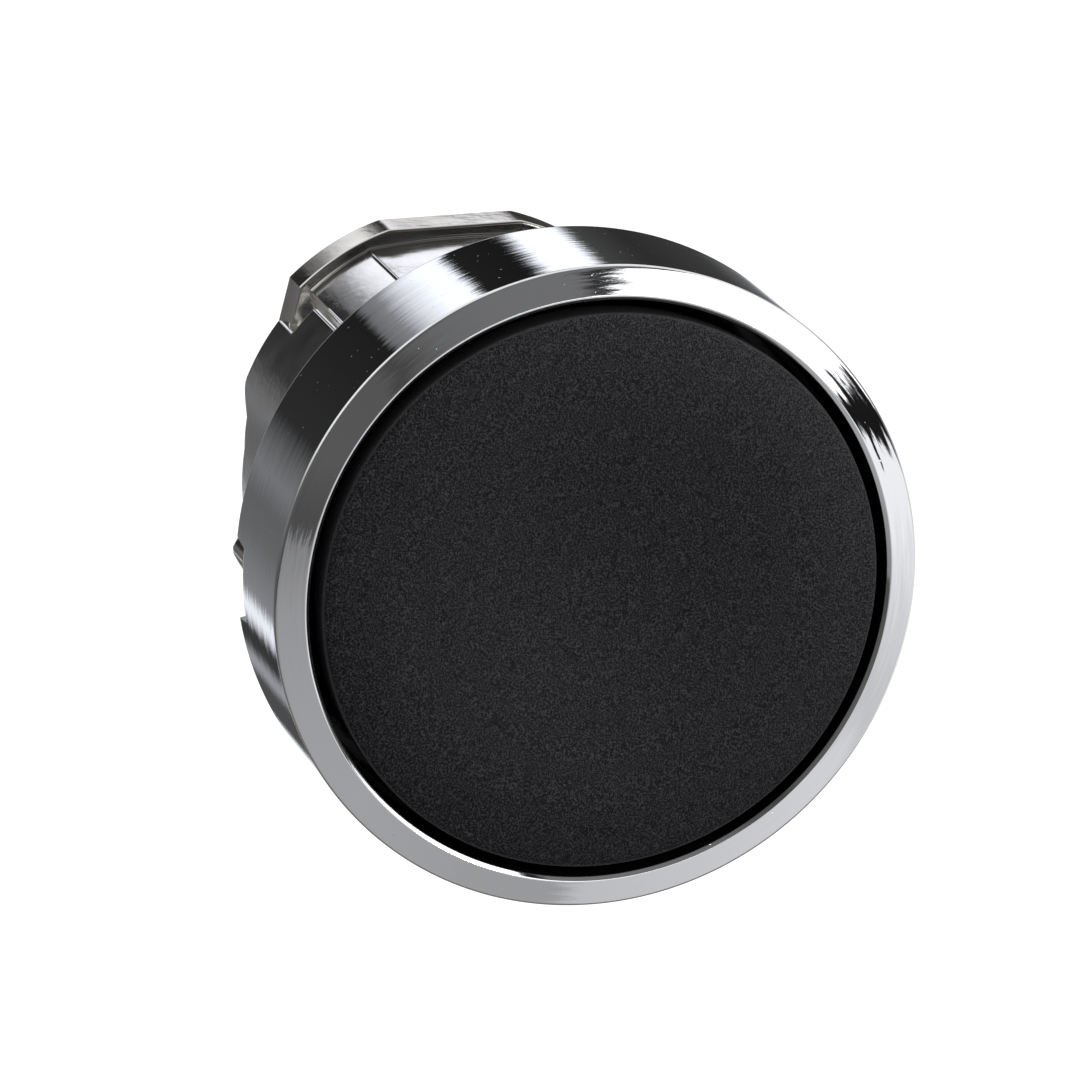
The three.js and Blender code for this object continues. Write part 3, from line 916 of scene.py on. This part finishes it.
def barrel_corners(angle):
    slotted, body, behind_body, lobe_rear, deck, flange = barrel_radii(angle)
    outside = [
        (FRONT_BORE_R, SHOULDER_FRONT, 0.1),
        (SHOULDER_R, SHOULDER_FRONT, 0.1),
        (SHOULDER_R, SHOULDER_REAR, 0.1),
        (BARREL_R, SHOULDER_REAR, 0.1),
        (BARREL_R, 0.0, 0.06),
        (slotted, 0.02, 0.06),
        (slotted, KEY_SLOT_REAR, 0.03),
        (BARREL_R, KEY_SLOT_REAR + 0.02, 0.03),
        (BARREL_R, RELIEF_FRONT, 0.1),
        (body, RELIEF_FRONT + STEP, 0.1),
        (body, BODY_REAR, 0.16),
        (behind_body, BODY_REAR + STEP, 0.12),
        (behind_body, lobe_rear, 0.16),
        (deck, lobe_rear + STEP, 0.12),
        (deck, FLANGE_FRONT, 0.12),
        (flange, FLANGE_FRONT + STEP, 0.12),
        (flange, FLANGE_REAR, 0.22),
        (REAR_BORE_R, FLANGE_REAR, 0.15),
    ]
    bore = [
        (REAR_BORE_R, 15.9), (RING_GROOVE_R, 15.9), (RING_GROOVE_R, 15.0), (REAR_BORE_R, 15.0),
        (REAR_BORE_R, 11.7), (BODY_BORE_R, 11.7), (BODY_BORE_R, 2.1), (FRONT_BORE_R, 2.1),
    ]
    return outside + [(r, y, 0.04) for r, y in bore]


edges = [
    0, KEY_SLOT_ANGLE, LAND_HALF, RELIEF_HALF, LOBE_FROM, LOBE_TO, TOP_EAR_HALF, LOW_EAR_FROM, LOW_EAR_TO,
]
barrel_angles = steps_around([sign * edge for sign in (-1, 1) for edge in edges], 280, 0.3)
barrel = lofted("cast_barrel", barrel_angles, barrel_corners, curve_steps=2)
fit(barrel, "satin_chrome", "head", "barrel")

# %% [markdown]
# ## Turned rubber and metal rings
# Seals, washers and bumpers are all turned shapes, so the same node tree that wrapped the cap makes them.
# The gasket carries three beads on each face: they bite into the panel when the head is pulled tight. A
# seal's lip leans inwards, so that it wipes the plunger as it moves.

# %% Turned rings
GASKET_R = (11.3, 13.3)
GASKET_THICKNESS = 1.0
BEAD_HEIGHT = 0.16
BEADS = (11.65, 12.3, 12.95)
BEZEL_SEAL_R = (12.8, 13.35)
BEZEL_SEAL_Y = (-3.2, -2.15)
WIPER_R = (5.8, 7.7)                    # from the lip to the outside
WIPER_Y = (-0.85, 0.3)
BUMPER_R = (6.1, 7.5)
BUMPER_Y = (2.1, 2.62)
BUMPER_CREST = (6.8, 2.75)
SEAT_R = (5.6, 7.6)
SEAT_Y = (11.25, 11.6)


def section_of(corners, curve_steps=4):
    """A turned piece's section. One that touches the axis ends there; any other is closed on itself."""
    on_axis = corners[0][0] == 0
    outline = rounded(corners, not on_axis, curve_steps)
    return outline if on_axis else outline + outline[:1]


def gasket_corners():
    """A flat ring with half-round beads on each face."""
    front = [(GASKET_R[0], -BEAD_HEIGHT, 0.1)]
    for r in BEADS:
        front += [(r - 0.22, -BEAD_HEIGHT, 0.05), (r - 0.1, 0.0, 0.08), (r + 0.1, 0.0, 0.08),
                  (r + 0.22, -BEAD_HEIGHT, 0.05)]
    front.append((GASKET_R[1], -BEAD_HEIGHT, 0.1))
    return front + [(r, -GASKET_THICKNESS - y, soft) for r, y, soft in reversed(front)]


def bezel_seal_corners():
    (inner, outer), (front, rear) = BEZEL_SEAL_R, BEZEL_SEAL_Y
    return [(inner, front, 0.12), (outer, front, 0.2), (outer, rear, 0.2), (outer - 0.3, rear, 0.1),
            (inner + 0.15, rear - 0.35, 0.1), (inner, rear - 0.35, 0.1)]


def wiper_corners():
    (lip, outer), (front, rear) = WIPER_R, WIPER_Y
    return [(outer, front, 0.1), (outer, rear, 0.15), (outer - 1.2, rear, 0.1), (lip, front + 0.1, 0.04),
            (lip + 0.5, front, 0.1), (lip + 1.0, front + 0.75, 0.15), (outer - 0.5, front, 0.1)]


def bumper_corners():
    (inner, outer), (front, rear), (crest_r, crest) = BUMPER_R, BUMPER_Y, BUMPER_CREST
    return [(inner, front, 0.12), (inner, rear, 0.1), (crest_r - 0.3, rear, 0.05), (crest_r, crest, 0.12),
            (crest_r + 0.3, rear, 0.05), (outer, rear, 0.1), (outer, front, 0.12)]


def seat_corners():
    (inner, outer), (front, rear) = SEAT_R, SEAT_Y
    return [(r, y, 0.06) for r, y in ((inner, front), (inner, rear), (outer, rear), (outer, front))]


for name, node, finish, steps, corners in (
    ("beaded_gasket", "panel_gasket", "black_rubber", 160, gasket_corners()),
    ("rim_seal", "bezel_seal", "black_rubber", 128, bezel_seal_corners()),
    ("wiper_seal", "lip_seal", "black_rubber", 128, wiper_corners()),
    ("end_bumper", "stop_bumper", "black_rubber", 128, bumper_corners()),
    ("spring_seat", "spring_washer", "zinc_plate", 128, seat_corners()),
):
    fit(turned(name, section_of(corners), finish, steps), finish, "head", node)

# %% [markdown]
# ## Bush and retainer
# The guide bush is moulded in a slippery white plastic. Six grooves in its bore carry grease and let grit
# fall out. The retainer that holds the seal in it has six slots, so that its fingers snap past the bush.
# Both are rings whose radius changes with the angle, so they are lofted like the barrel.

# %% Bush and retainer
SLOTS = 6
SLOT_SPACING = 2 * math.pi / SLOTS
GROOVE_HALF = 0.07                      # half the angle of a groove in the bush
FINGER_GAP_HALF = 0.09                  # half the angle of a slot in the retainer
BUSH_R = (6.1, 7.9, 8.75)               # bore, seal pocket and outside
GROOVE_DEPTH = 0.3
RETAINER_R = (6.2, 7.55, 7.7)           # bore, snap edge and outside
FINGER_LENGTH = 0.6


def slot_share(angle, half_width):
    """1 in the middle of each slot, and 0 between them."""
    off = abs((angle + SLOT_SPACING / 2) % SLOT_SPACING - SLOT_SPACING / 2)
    return 1 - ease(off, half_width, half_width + 0.02)


def slot_angles(half_width):
    centres = [SLOT_SPACING * i - math.pi for i in range(SLOTS)]
    return steps_around([c + s * (half_width + 0.01) for c in centres for s in (-1, 1)], 120, 0.04)


def bush_corners(angle):
    bore, pocket, outside = BUSH_R
    bore += GROOVE_DEPTH * slot_share(angle, GROOVE_HALF)
    return [(outside, -1.8, 0.1), (outside, 1.9, 0.1), (bore, 1.9, 0.12), (bore, 0.5, 0.08),
            (pocket, 0.5, 0.05), (pocket, -1.8, 0.1)]


def retainer_corners(angle):
    bore, snap, outside = RETAINER_R
    bore += FINGER_LENGTH * slot_share(angle, FINGER_GAP_HALF)
    return [(bore, -1.75, 0.1), (bore, -1.05, 0.06), (snap, -1.05, 0.05), (outside, -1.3, 0.08),
            (outside, -1.75, 0.1)]


fit(lofted("grooved_bush", slot_angles(GROOVE_HALF), bush_corners), "white_acetal", "head", "guide_bush")
fit(lofted("slotted_retainer", slot_angles(FINGER_GAP_HALF), retainer_corners), "black_nylon", "head",
    "seal_retainer")

# %% [markdown]
# ## Return spring
# A coil spring is a round wire that follows a helix, so it is a natural job for Geometry Nodes: a spiral
# curve gives the path, and a circle swept along it gives the wire. A real compression spring has a dead
# half turn at each end, lying flat on its seat. So the tree spreads the rise over the middle turns only.

# %% Return spring
SPRING_R = 6.6
SPRING_WIRE_R = 0.4
SPRING_TURNS = 4.4
SPRING_DEAD = 0.114                     # the share of the wire at each end that lies flat
SPRING_FRONT = 3.9
SPRING_REAR = 11.05
START_POINT = [(0, 0), (1, 0)]          # a short line for the trees that draw their own path


def coil_tree():
    tree, given = shape_tree("coil_spring", [
        ("Turns", "Float"), ("Coil radius", "Float"), ("Wire radius", "Float"), ("Front", "Float"),
        ("Rear", "Float"), ("Dead share", "Float")])
    path = add_node(tree, "GeometryNodeCurveSpiral", {
        "Resolution": 48, "Rotations": given["Turns"], "Start Radius": given["Coil radius"],
        "End Radius": given["Coil radius"], "Height": 1.0})["Curve"]
    position = add_node(tree, "GeometryNodeInputPosition")[0]
    point = add_node(tree, "ShaderNodeSeparateXYZ", {0: position})
    rise_to = maths(tree, "SUBTRACT", 1.0, given["Dead share"])
    first = maths(tree, "ADD", given["Front"], given["Wire radius"])
    last = maths(tree, "SUBTRACT", given["Rear"], given["Wire radius"])
    rise = scaled(tree, point["Z"], given["Dead share"], rise_to, first, last)
    place = add_node(tree, "ShaderNodeCombineXYZ", {"X": point["X"], "Y": rise, "Z": point["Y"]})[0]
    bent = add_node(tree, "GeometryNodeSetPosition", {"Geometry": path, "Position": place})[0]
    wire = add_node(tree, "GeometryNodeCurvePrimitiveCircle", {
        "Resolution": 16, "Radius": given["Wire radius"]})["Curve"]
    swept = add_node(tree, "GeometryNodeCurveToMesh", {
        "Curve": bent, "Profile Curve": wire, "Fill Caps": True})[0]
    return end_tree(tree, swept, given)


COIL = coil_tree()


def coil(name, finish, turns, coil_r, wire_r, front, rear, dead=0.0):
    return run_tree(name, COIL, START_POINT, {
        "Turns": turns, "Coil radius": coil_r * MM, "Wire radius": wire_r * MM, "Front": front * MM,
        "Rear": rear * MM, "Dead share": dead, "Finish": FINISH[finish]})


spring = coil("coil_spring", "spring_steel", SPRING_TURNS, SPRING_R, SPRING_WIRE_R, SPRING_FRONT,
              SPRING_REAR, SPRING_DEAD)
fit(spring, "spring_steel", "head", "return_spring")
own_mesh(spring)

# %% [markdown]
# ## Flat pieces cut from an outline
# The circlip, the pusher bar and the rear guide are flat shapes with holes. A flat curve is the easiest
# way to draw those: Blender fills between the outline and its holes, gives the sheet a thickness and
# rolls its edges. The curve is then made a mesh and stood upright, because a curve lies flat by nature.

# %% Flat pieces
SHARP_FROM = math.radians(35)           # edges that turn by more than this stay crisp


def arc(radius, start, end, steps=32, centre=(0, 0)):
    """Points in X and Z along an arc. Angles are in degrees from 12 o'clock, positive towards +X."""
    angles = [math.radians(start + (end - start) * i / steps) for i in range(steps + 1)]
    return [(centre[0] + radius * math.sin(a), centre[1] + radius * math.cos(a)) for a in angles]


def circle(radius, centre=(0, 0), steps=40):
    return arc(radius, 0, 360, steps, centre)[:-1]


def sector(inner, outer, middle, half):
    """A closed outline of a piece of a ring."""
    return arc(outer, middle - half, middle + half, 12) + arc(inner, middle + half, middle - half, 12)


def shade(mesh):
    mesh.shade_smooth()
    mesh.set_sharp_from_angle(angle=SHARP_FROM)


def stamped(name, loops, front, rear, soft):
    """A flat piece between two values of Y, from an outline and its holes, with rounded edges."""
    curve = bpy.data.curves.new(name, "CURVE")
    curve.dimensions = "2D"
    curve.fill_mode = "BOTH"
    curve.extrude = (rear - front) / 2 - soft
    curve.bevel_depth = soft
    curve.bevel_resolution = 1
    curve.offset = -soft
    for loop in loops:
        spline = curve.splines.new("POLY")
        spline.points.add(len(loop) - 1)
        spline.use_cyclic_u = True
        for point, (x, z) in zip(spline.points, loop):
            point.co = (x, z, 0, 1)
    flat = new_object(name, curve)
    graph = bpy.context.evaluated_depsgraph_get()
    mesh = bpy.data.meshes.new_from_object(flat.evaluated_get(graph))
    bpy.data.objects.remove(flat)
    for vertex in mesh.vertices:
        x, z, height = vertex.co
        vertex.co = Vector((x, (front + rear) / 2 + height, z)) * MM
    clean(mesh, 0.001)
    shade(mesh)
    mesh.name = name
    return new_object(name, mesh)


def joined(name, pieces):
    """Several closed shells as one piece."""
    work = bmesh.new()
    for piece in pieces:
        work.from_mesh(piece.data)
        bpy.data.objects.remove(piece)
    mesh = bpy.data.meshes.new(name)
    work.to_mesh(mesh)
    work.free()
    return new_object(name, mesh)


print("flat piece helpers ready")

# %% [markdown]
# ## Circlip and rear guide
# The circlip springs into a groove in the barrel and holds the rear guide. It widens towards its back,
# and its two lugs have holes for pliers. The guide is a nylon disc whose keyed hole stops the plunger
# turning. It is cored out to keep its walls even, which leaves a rim and a ring of ribs. The ribs repeat,
# so a small node tree sets one rib at each place.

# %% Circlip
RING_FRONT = 15.15
RING_REAR = 15.75
RING_R = 8.65
RING_BORE_R = 7.45
RING_BORE_END = 146                     # the bore stops here, in degrees, and the lug begins
RING_END = 166
LUG_R = 6.5
LUG_FROM = 152
PLIER_HOLE_R = 0.42
PLIER_HOLE_AT = 7.1                     # mm from the axis, in the middle of the lug


def make_circlip():
    outline = arc(RING_R, -RING_END, RING_END, 96)
    outline += arc(LUG_R, RING_END, LUG_FROM, 6)
    outline += arc(RING_BORE_R, RING_BORE_END, -RING_BORE_END, 72)
    outline += arc(LUG_R, -LUG_FROM, -RING_END, 6)
    lug_middle = (LUG_FROM + RING_END) / 2
    holes = []
    for angle in (lug_middle, -lug_middle):
        centre = arc(PLIER_HOLE_AT, angle, angle, 1)[0]
        holes.append(circle(PLIER_HOLE_R, centre, 20))
    return stamped("circlip", [outline] + holes, RING_FRONT, RING_REAR, 0.07)


fit(make_circlip(), "spring_steel", "head", "retaining_ring")

# %% Rear guide
GUIDE_R = 8.2
GUIDE_RIM_R = 7.55
GUIDE_FRONT = 11.9
GUIDE_REAR = 14.9
GUIDE_CORE = 14.45                      # the cored face between the ribs
GUIDE_GAP = 0.2                         # the play around the plunger's stem
HUB_WALL = 0.55
WINDOW_R = (5.9, 7.2)
WINDOW_HALF = 24                        # degrees
STEM_R = 5.0
STEM_HALF = 3.6
RIB_COUNT = 14
RIB_RING_R = 6.65
RIB_LENGTH = 2.2
RIB_WIDTH = 0.4
RIB_FRONT = GUIDE_CORE - 0.3
RIB_REAR = GUIDE_REAR - 0.12


def keyed_hole(grow):
    """A round hole with a flat above and below."""
    radius = STEM_R + grow
    flat = math.degrees(math.acos((STEM_HALF + grow) / radius))
    return arc(radius, flat, 180 - flat, 24) + arc(radius, 180 + flat, 360 - flat, 24)


def rib_tree():
    """Sets a rib on each point of a ring, turned to face the axis."""
    tree, given = shape_tree("rib_ring", [
        ("Count", "Int"), ("Ring radius", "Float"), ("Length", "Float"), ("Width", "Float"),
        ("Height", "Float"), ("Place", "Float")])
    index = add_node(tree, "GeometryNodeInputIndex")[0]
    share = maths(tree, "DIVIDE", maths(tree, "ADD", index, 0.5), given["Count"])
    angle = maths(tree, "MULTIPLY", share, 2 * math.pi)
    place = point_around(tree, given["Ring radius"], angle, given["Place"])
    points = add_node(tree, "GeometryNodePoints", {"Count": given["Count"], "Position": place})[0]
    turn = add_node(tree, "ShaderNodeCombineXYZ", {"Y": angle})[0]
    size = add_node(tree, "ShaderNodeCombineXYZ", {
        "X": given["Width"], "Y": given["Height"], "Z": given["Length"]})[0]
    rib = add_node(tree, "GeometryNodeMeshCube", {"Size": size})["Mesh"]
    copies = add_node(tree, "GeometryNodeInstanceOnPoints", {
        "Points": points, "Instance": rib, "Rotation": turn})[0]
    return end_tree(tree, copies, given)


def make_ribs():
    piece = run_tree("ribs", rib_tree(), START_POINT, {
        "Count": RIB_COUNT, "Ring radius": RIB_RING_R * MM, "Length": RIB_LENGTH * MM,
        "Width": RIB_WIDTH * MM, "Height": (RIB_REAR - RIB_FRONT) * MM,
        "Place": (RIB_FRONT + RIB_REAR) / 2 * MM, "Finish": FINISH["black_nylon"]})
    piece.data.shade_flat()
    return piece


def make_rear_guide():
    disc_edge = circle(GUIDE_R, steps=96)
    windows = [sector(*WINDOW_R, middle, WINDOW_HALF) for middle in (0, 180)]
    hole = keyed_hole(GUIDE_GAP)
    step_front = GUIDE_CORE - 0.4
    disc = stamped("disc", [disc_edge, hole] + windows, GUIDE_FRONT, GUIDE_CORE, 0.1)
    rim = stamped("rim", [disc_edge, circle(GUIDE_RIM_R, steps=96)], step_front, GUIDE_REAR, 0.08)
    hub = stamped("hub", [keyed_hole(GUIDE_GAP + HUB_WALL), hole], step_front, GUIDE_REAR, 0.08)
    return joined("ribbed_guide", [disc, rim, hub, make_ribs()])


fit(make_rear_guide(), "black_nylon", "head", "rear_guide")

# %% [markdown]
# ## Plunger and pusher bar
# The plunger carries the cap at one end and the pusher bar at the other. Its stem is round with two
# flats, so each step around the axis has its own radius there. The bar spreads one push over two contact
# blocks. It is a moulded lever, so it is cored: a thin floor, a rim, and a boss around each hole.

# %% Plunger
SPIGOT_R = 4.45                         # the front end, inside the cap's hub
SPIGOT_FRONT = -6.1
SPIGOT_FLOOR = -1.9
SLIDE_R = 5.6
COLLAR_R = 7.6
COLLAR_FRONT = 2.95
COLLAR_REAR = 3.7
STEM_REAR = 16.1
SCREW_HOLE_R = 1.05
SCREW_HOLE_FLOOR = 10.5


def plunger_corners(angle):
    stem = min(STEM_R, STEM_HALF / max(0.2, abs(math.cos(angle))))
    return [
        (0.0, SPIGOT_FLOOR, 0), (SPIGOT_R, SPIGOT_FLOOR, 0.1), (SPIGOT_R, SPIGOT_FRONT, 0.15),
        (SLIDE_R, SPIGOT_FRONT, 0.15), (SLIDE_R, COLLAR_FRONT, 0.12), (COLLAR_R, COLLAR_FRONT, 0.1),
        (COLLAR_R, COLLAR_REAR, 0.1), (stem, COLLAR_REAR, 0.12), (stem, STEM_REAR, 0.2),
        (SCREW_HOLE_R, STEM_REAR, 0.1), (SCREW_HOLE_R, SCREW_HOLE_FLOOR, 0.05), (0.0, SCREW_HOLE_FLOOR, 0),
    ]


flat_edge = math.acos(STEM_HALF / STEM_R)
flat_edges = [sign * edge for sign in (-1, 1) for edge in (flat_edge, math.pi - flat_edge)]
stem_angles = steps_around(flat_edges, 128, 0.1)
plunger = lofted("keyed_plunger", stem_angles, plunger_corners, closed=False, curve_steps=3)
clean(plunger.data, 0.001)
fit(plunger, "white_acetal", "button", "plunger")

# %% Pusher bar and contact pushers
BAR_FRONT = 16.3
BAR_REAR = 18.1
BAR_FLOOR = 17.3
BAR_REACH = 5.1
BAR_HALF = 2.3
BAR_WALL = 0.45
PUSHER_X = 5.5
PUSHER_HOLE_R = 1.1
PUSHER_PIN_R = 0.9
PUSHER_PIN_FRONT = 16.4
PUSHER_R = 1.6
PUSHER_FRONT = 18.3
PUSHER_REAR = 20.6


def stadium(half):
    """The bar's outline, half being its half height."""
    return arc(half, 0, 180, 24, (BAR_REACH, 0)) + arc(half, 180, 360, 24, (-BAR_REACH, 0))


def make_pusher_bar():
    places = ((0, SCREW_HOLE_R), (-PUSHER_X, PUSHER_HOLE_R), (PUSHER_X, PUSHER_HOLE_R))
    holes = [circle(radius, (x, 0)) for x, radius in places]
    wall_front = BAR_FLOOR - 0.3
    pieces = [
        stamped("floor", [stadium(BAR_HALF)] + holes, BAR_FRONT, BAR_FLOOR, 0.1),
        stamped("rim", [stadium(BAR_HALF), stadium(BAR_HALF - BAR_WALL)], wall_front, BAR_REAR, 0.1),
    ]
    for (x, radius), hole in zip(places, holes):
        boss = [circle(radius + BAR_WALL, (x, 0)), hole]
        pieces.append(stamped("boss", boss, wall_front, BAR_REAR - 0.05, 0.08))
    return joined("cored_bar", pieces)


def make_contact_pusher(name, side):
    piece = turned(name, section_of([
        (0, PUSHER_PIN_FRONT, 0), (PUSHER_PIN_R, PUSHER_PIN_FRONT, 0.15), (PUSHER_PIN_R, PUSHER_FRONT, 0.06),
        (PUSHER_R, PUSHER_FRONT, 0.1), (PUSHER_R, PUSHER_REAR - 0.3, 0.15),
        (PUSHER_R - 0.3, PUSHER_REAR, 0.2), (0, PUSHER_REAR, 0),
    ], 3), "white_acetal", 64)
    for vertex in piece.data.vertices:
        vertex.co.x += side * PUSHER_X * MM
    return piece


fit(make_pusher_bar(), "white_acetal", "button", "pusher_bar")
fit(make_contact_pusher("left_push_foot", -1), "white_acetal", "button", "contact_pusher_left")
fit(make_contact_pusher("right_push_foot", 1), "white_acetal", "button", "contact_pusher_right")

# %% [markdown]
# ## Screw, lock washer and key
# The screw's thread is another helix, so the spring's tree makes it again, thinner and with no dead
# turns. Its cross recess is cut with a flat cross. The lock washer is a split ring, and the key is a
# plain moulded block with rounded edges that stops the head turning in its panel hole.

# %% Screw, lock washer and key
SCREW_CORE_R = 0.66
SCREW_CREST_R = 0.8
SCREW_PITCH = 0.5
SCREW_TIP = 11.0
THREAD_FRONT = 11.6
THREAD_REAR = 16.1
THREAD_WIRE_R = (SCREW_CREST_R - SCREW_CORE_R + 0.06) / 2
THREAD_TURNS = (THREAD_REAR - THREAD_FRONT - 2 * THREAD_WIRE_R) / SCREW_PITCH
SCREW_HEAD_R = 1.9
SCREW_HEAD_FRONT = 18.6
SCREW_HEAD_REAR = 19.5
CROSS_FLOOR = 18.95
WASHER_FRONT = 18.2
WASHER_REAR = 18.5
KEY_LOW = (-1.5, 0.15, 9.85)
KEY_HIGH = (1.5, 3.3, 12.7)
KEY_SOFT = 0.2


def cross_outline(reach, half, root):
    """A cross with four equal arms that narrow from root in the middle to half at their ends."""
    corners = [(root, root), (reach, half), (reach, -half)]
    outline = []
    for quarter in range(4):
        outline += corners
        corners = [(z, -x) for x, z in corners]
    return outline


def cut(piece, cutter):
    """Cuts the cutter out of a piece, and removes it."""
    modifier = piece.modifiers.new("cut", "BOOLEAN")
    modifier.operation = "DIFFERENCE"
    modifier.solver = "EXACT"
    modifier.object = cutter
    graph = bpy.context.evaluated_depsgraph_get()
    mesh = bpy.data.meshes.new_from_object(piece.evaluated_get(graph))
    piece.modifiers.remove(modifier)
    piece.data = mesh
    bpy.data.objects.remove(cutter)
    shade(mesh)


def make_screw():
    head = turned("screw_head", section_of([
        (0, SCREW_TIP, 0), (0.3, SCREW_TIP, 0.1), (SCREW_CORE_R, SCREW_TIP + 0.7, 0.1),
        (SCREW_CORE_R, SCREW_HEAD_FRONT, 0.05), (SCREW_HEAD_R, SCREW_HEAD_FRONT, 0.1),
        (SCREW_HEAD_R, SCREW_HEAD_FRONT + 0.4, 0.2), (SCREW_HEAD_R - 0.6, SCREW_HEAD_REAR, 0.4),
        (0, SCREW_HEAD_REAR, 0),
    ], 3), "zinc_plate", 60)
    cut(head, stamped("driver", [cross_outline(1.15, 0.2, 0.26)], CROSS_FLOOR, SCREW_HEAD_REAR + 0.5, 0))
    thread = coil("thread", "zinc_plate", THREAD_TURNS, SCREW_CREST_R - THREAD_WIRE_R, THREAD_WIRE_R,
                  THREAD_FRONT, THREAD_REAR)
    return joined("thread_screw", [head, thread])


def make_lock_washer():
    outline = arc(SCREW_HEAD_R, 6, 354, 60) + arc(SCREW_HOLE_R, 352, 8, 60)
    return stamped("split_washer", [outline], WASHER_FRONT, WASHER_REAR, 0.05)


def make_key():
    """A box from two corners in mm, with rounded edges."""
    work = bmesh.new()
    bmesh.ops.create_cube(work, size=1)
    for vertex in work.verts:
        vertex.co = Vector([(a + b) / 2 + c * (b - a) for a, b, c in zip(KEY_LOW, KEY_HIGH, vertex.co)]) * MM
    bmesh.ops.bevel(work, geom=work.edges, offset=KEY_SOFT * MM, segments=3, profile=0.5, affect="EDGES",
                    clamp_overlap=True)
    mesh = bpy.data.meshes.new("turn_key")
    work.to_mesh(mesh)
    work.free()
    shade(mesh)
    return new_object("turn_key", mesh)


fit(make_screw(), "zinc_plate", "button", "pusher_screw")
fit(make_lock_washer(), "spring_steel", "button", "lock_washer")
fit(make_key(), "black_nylon", "head", "anti_rotation_key")
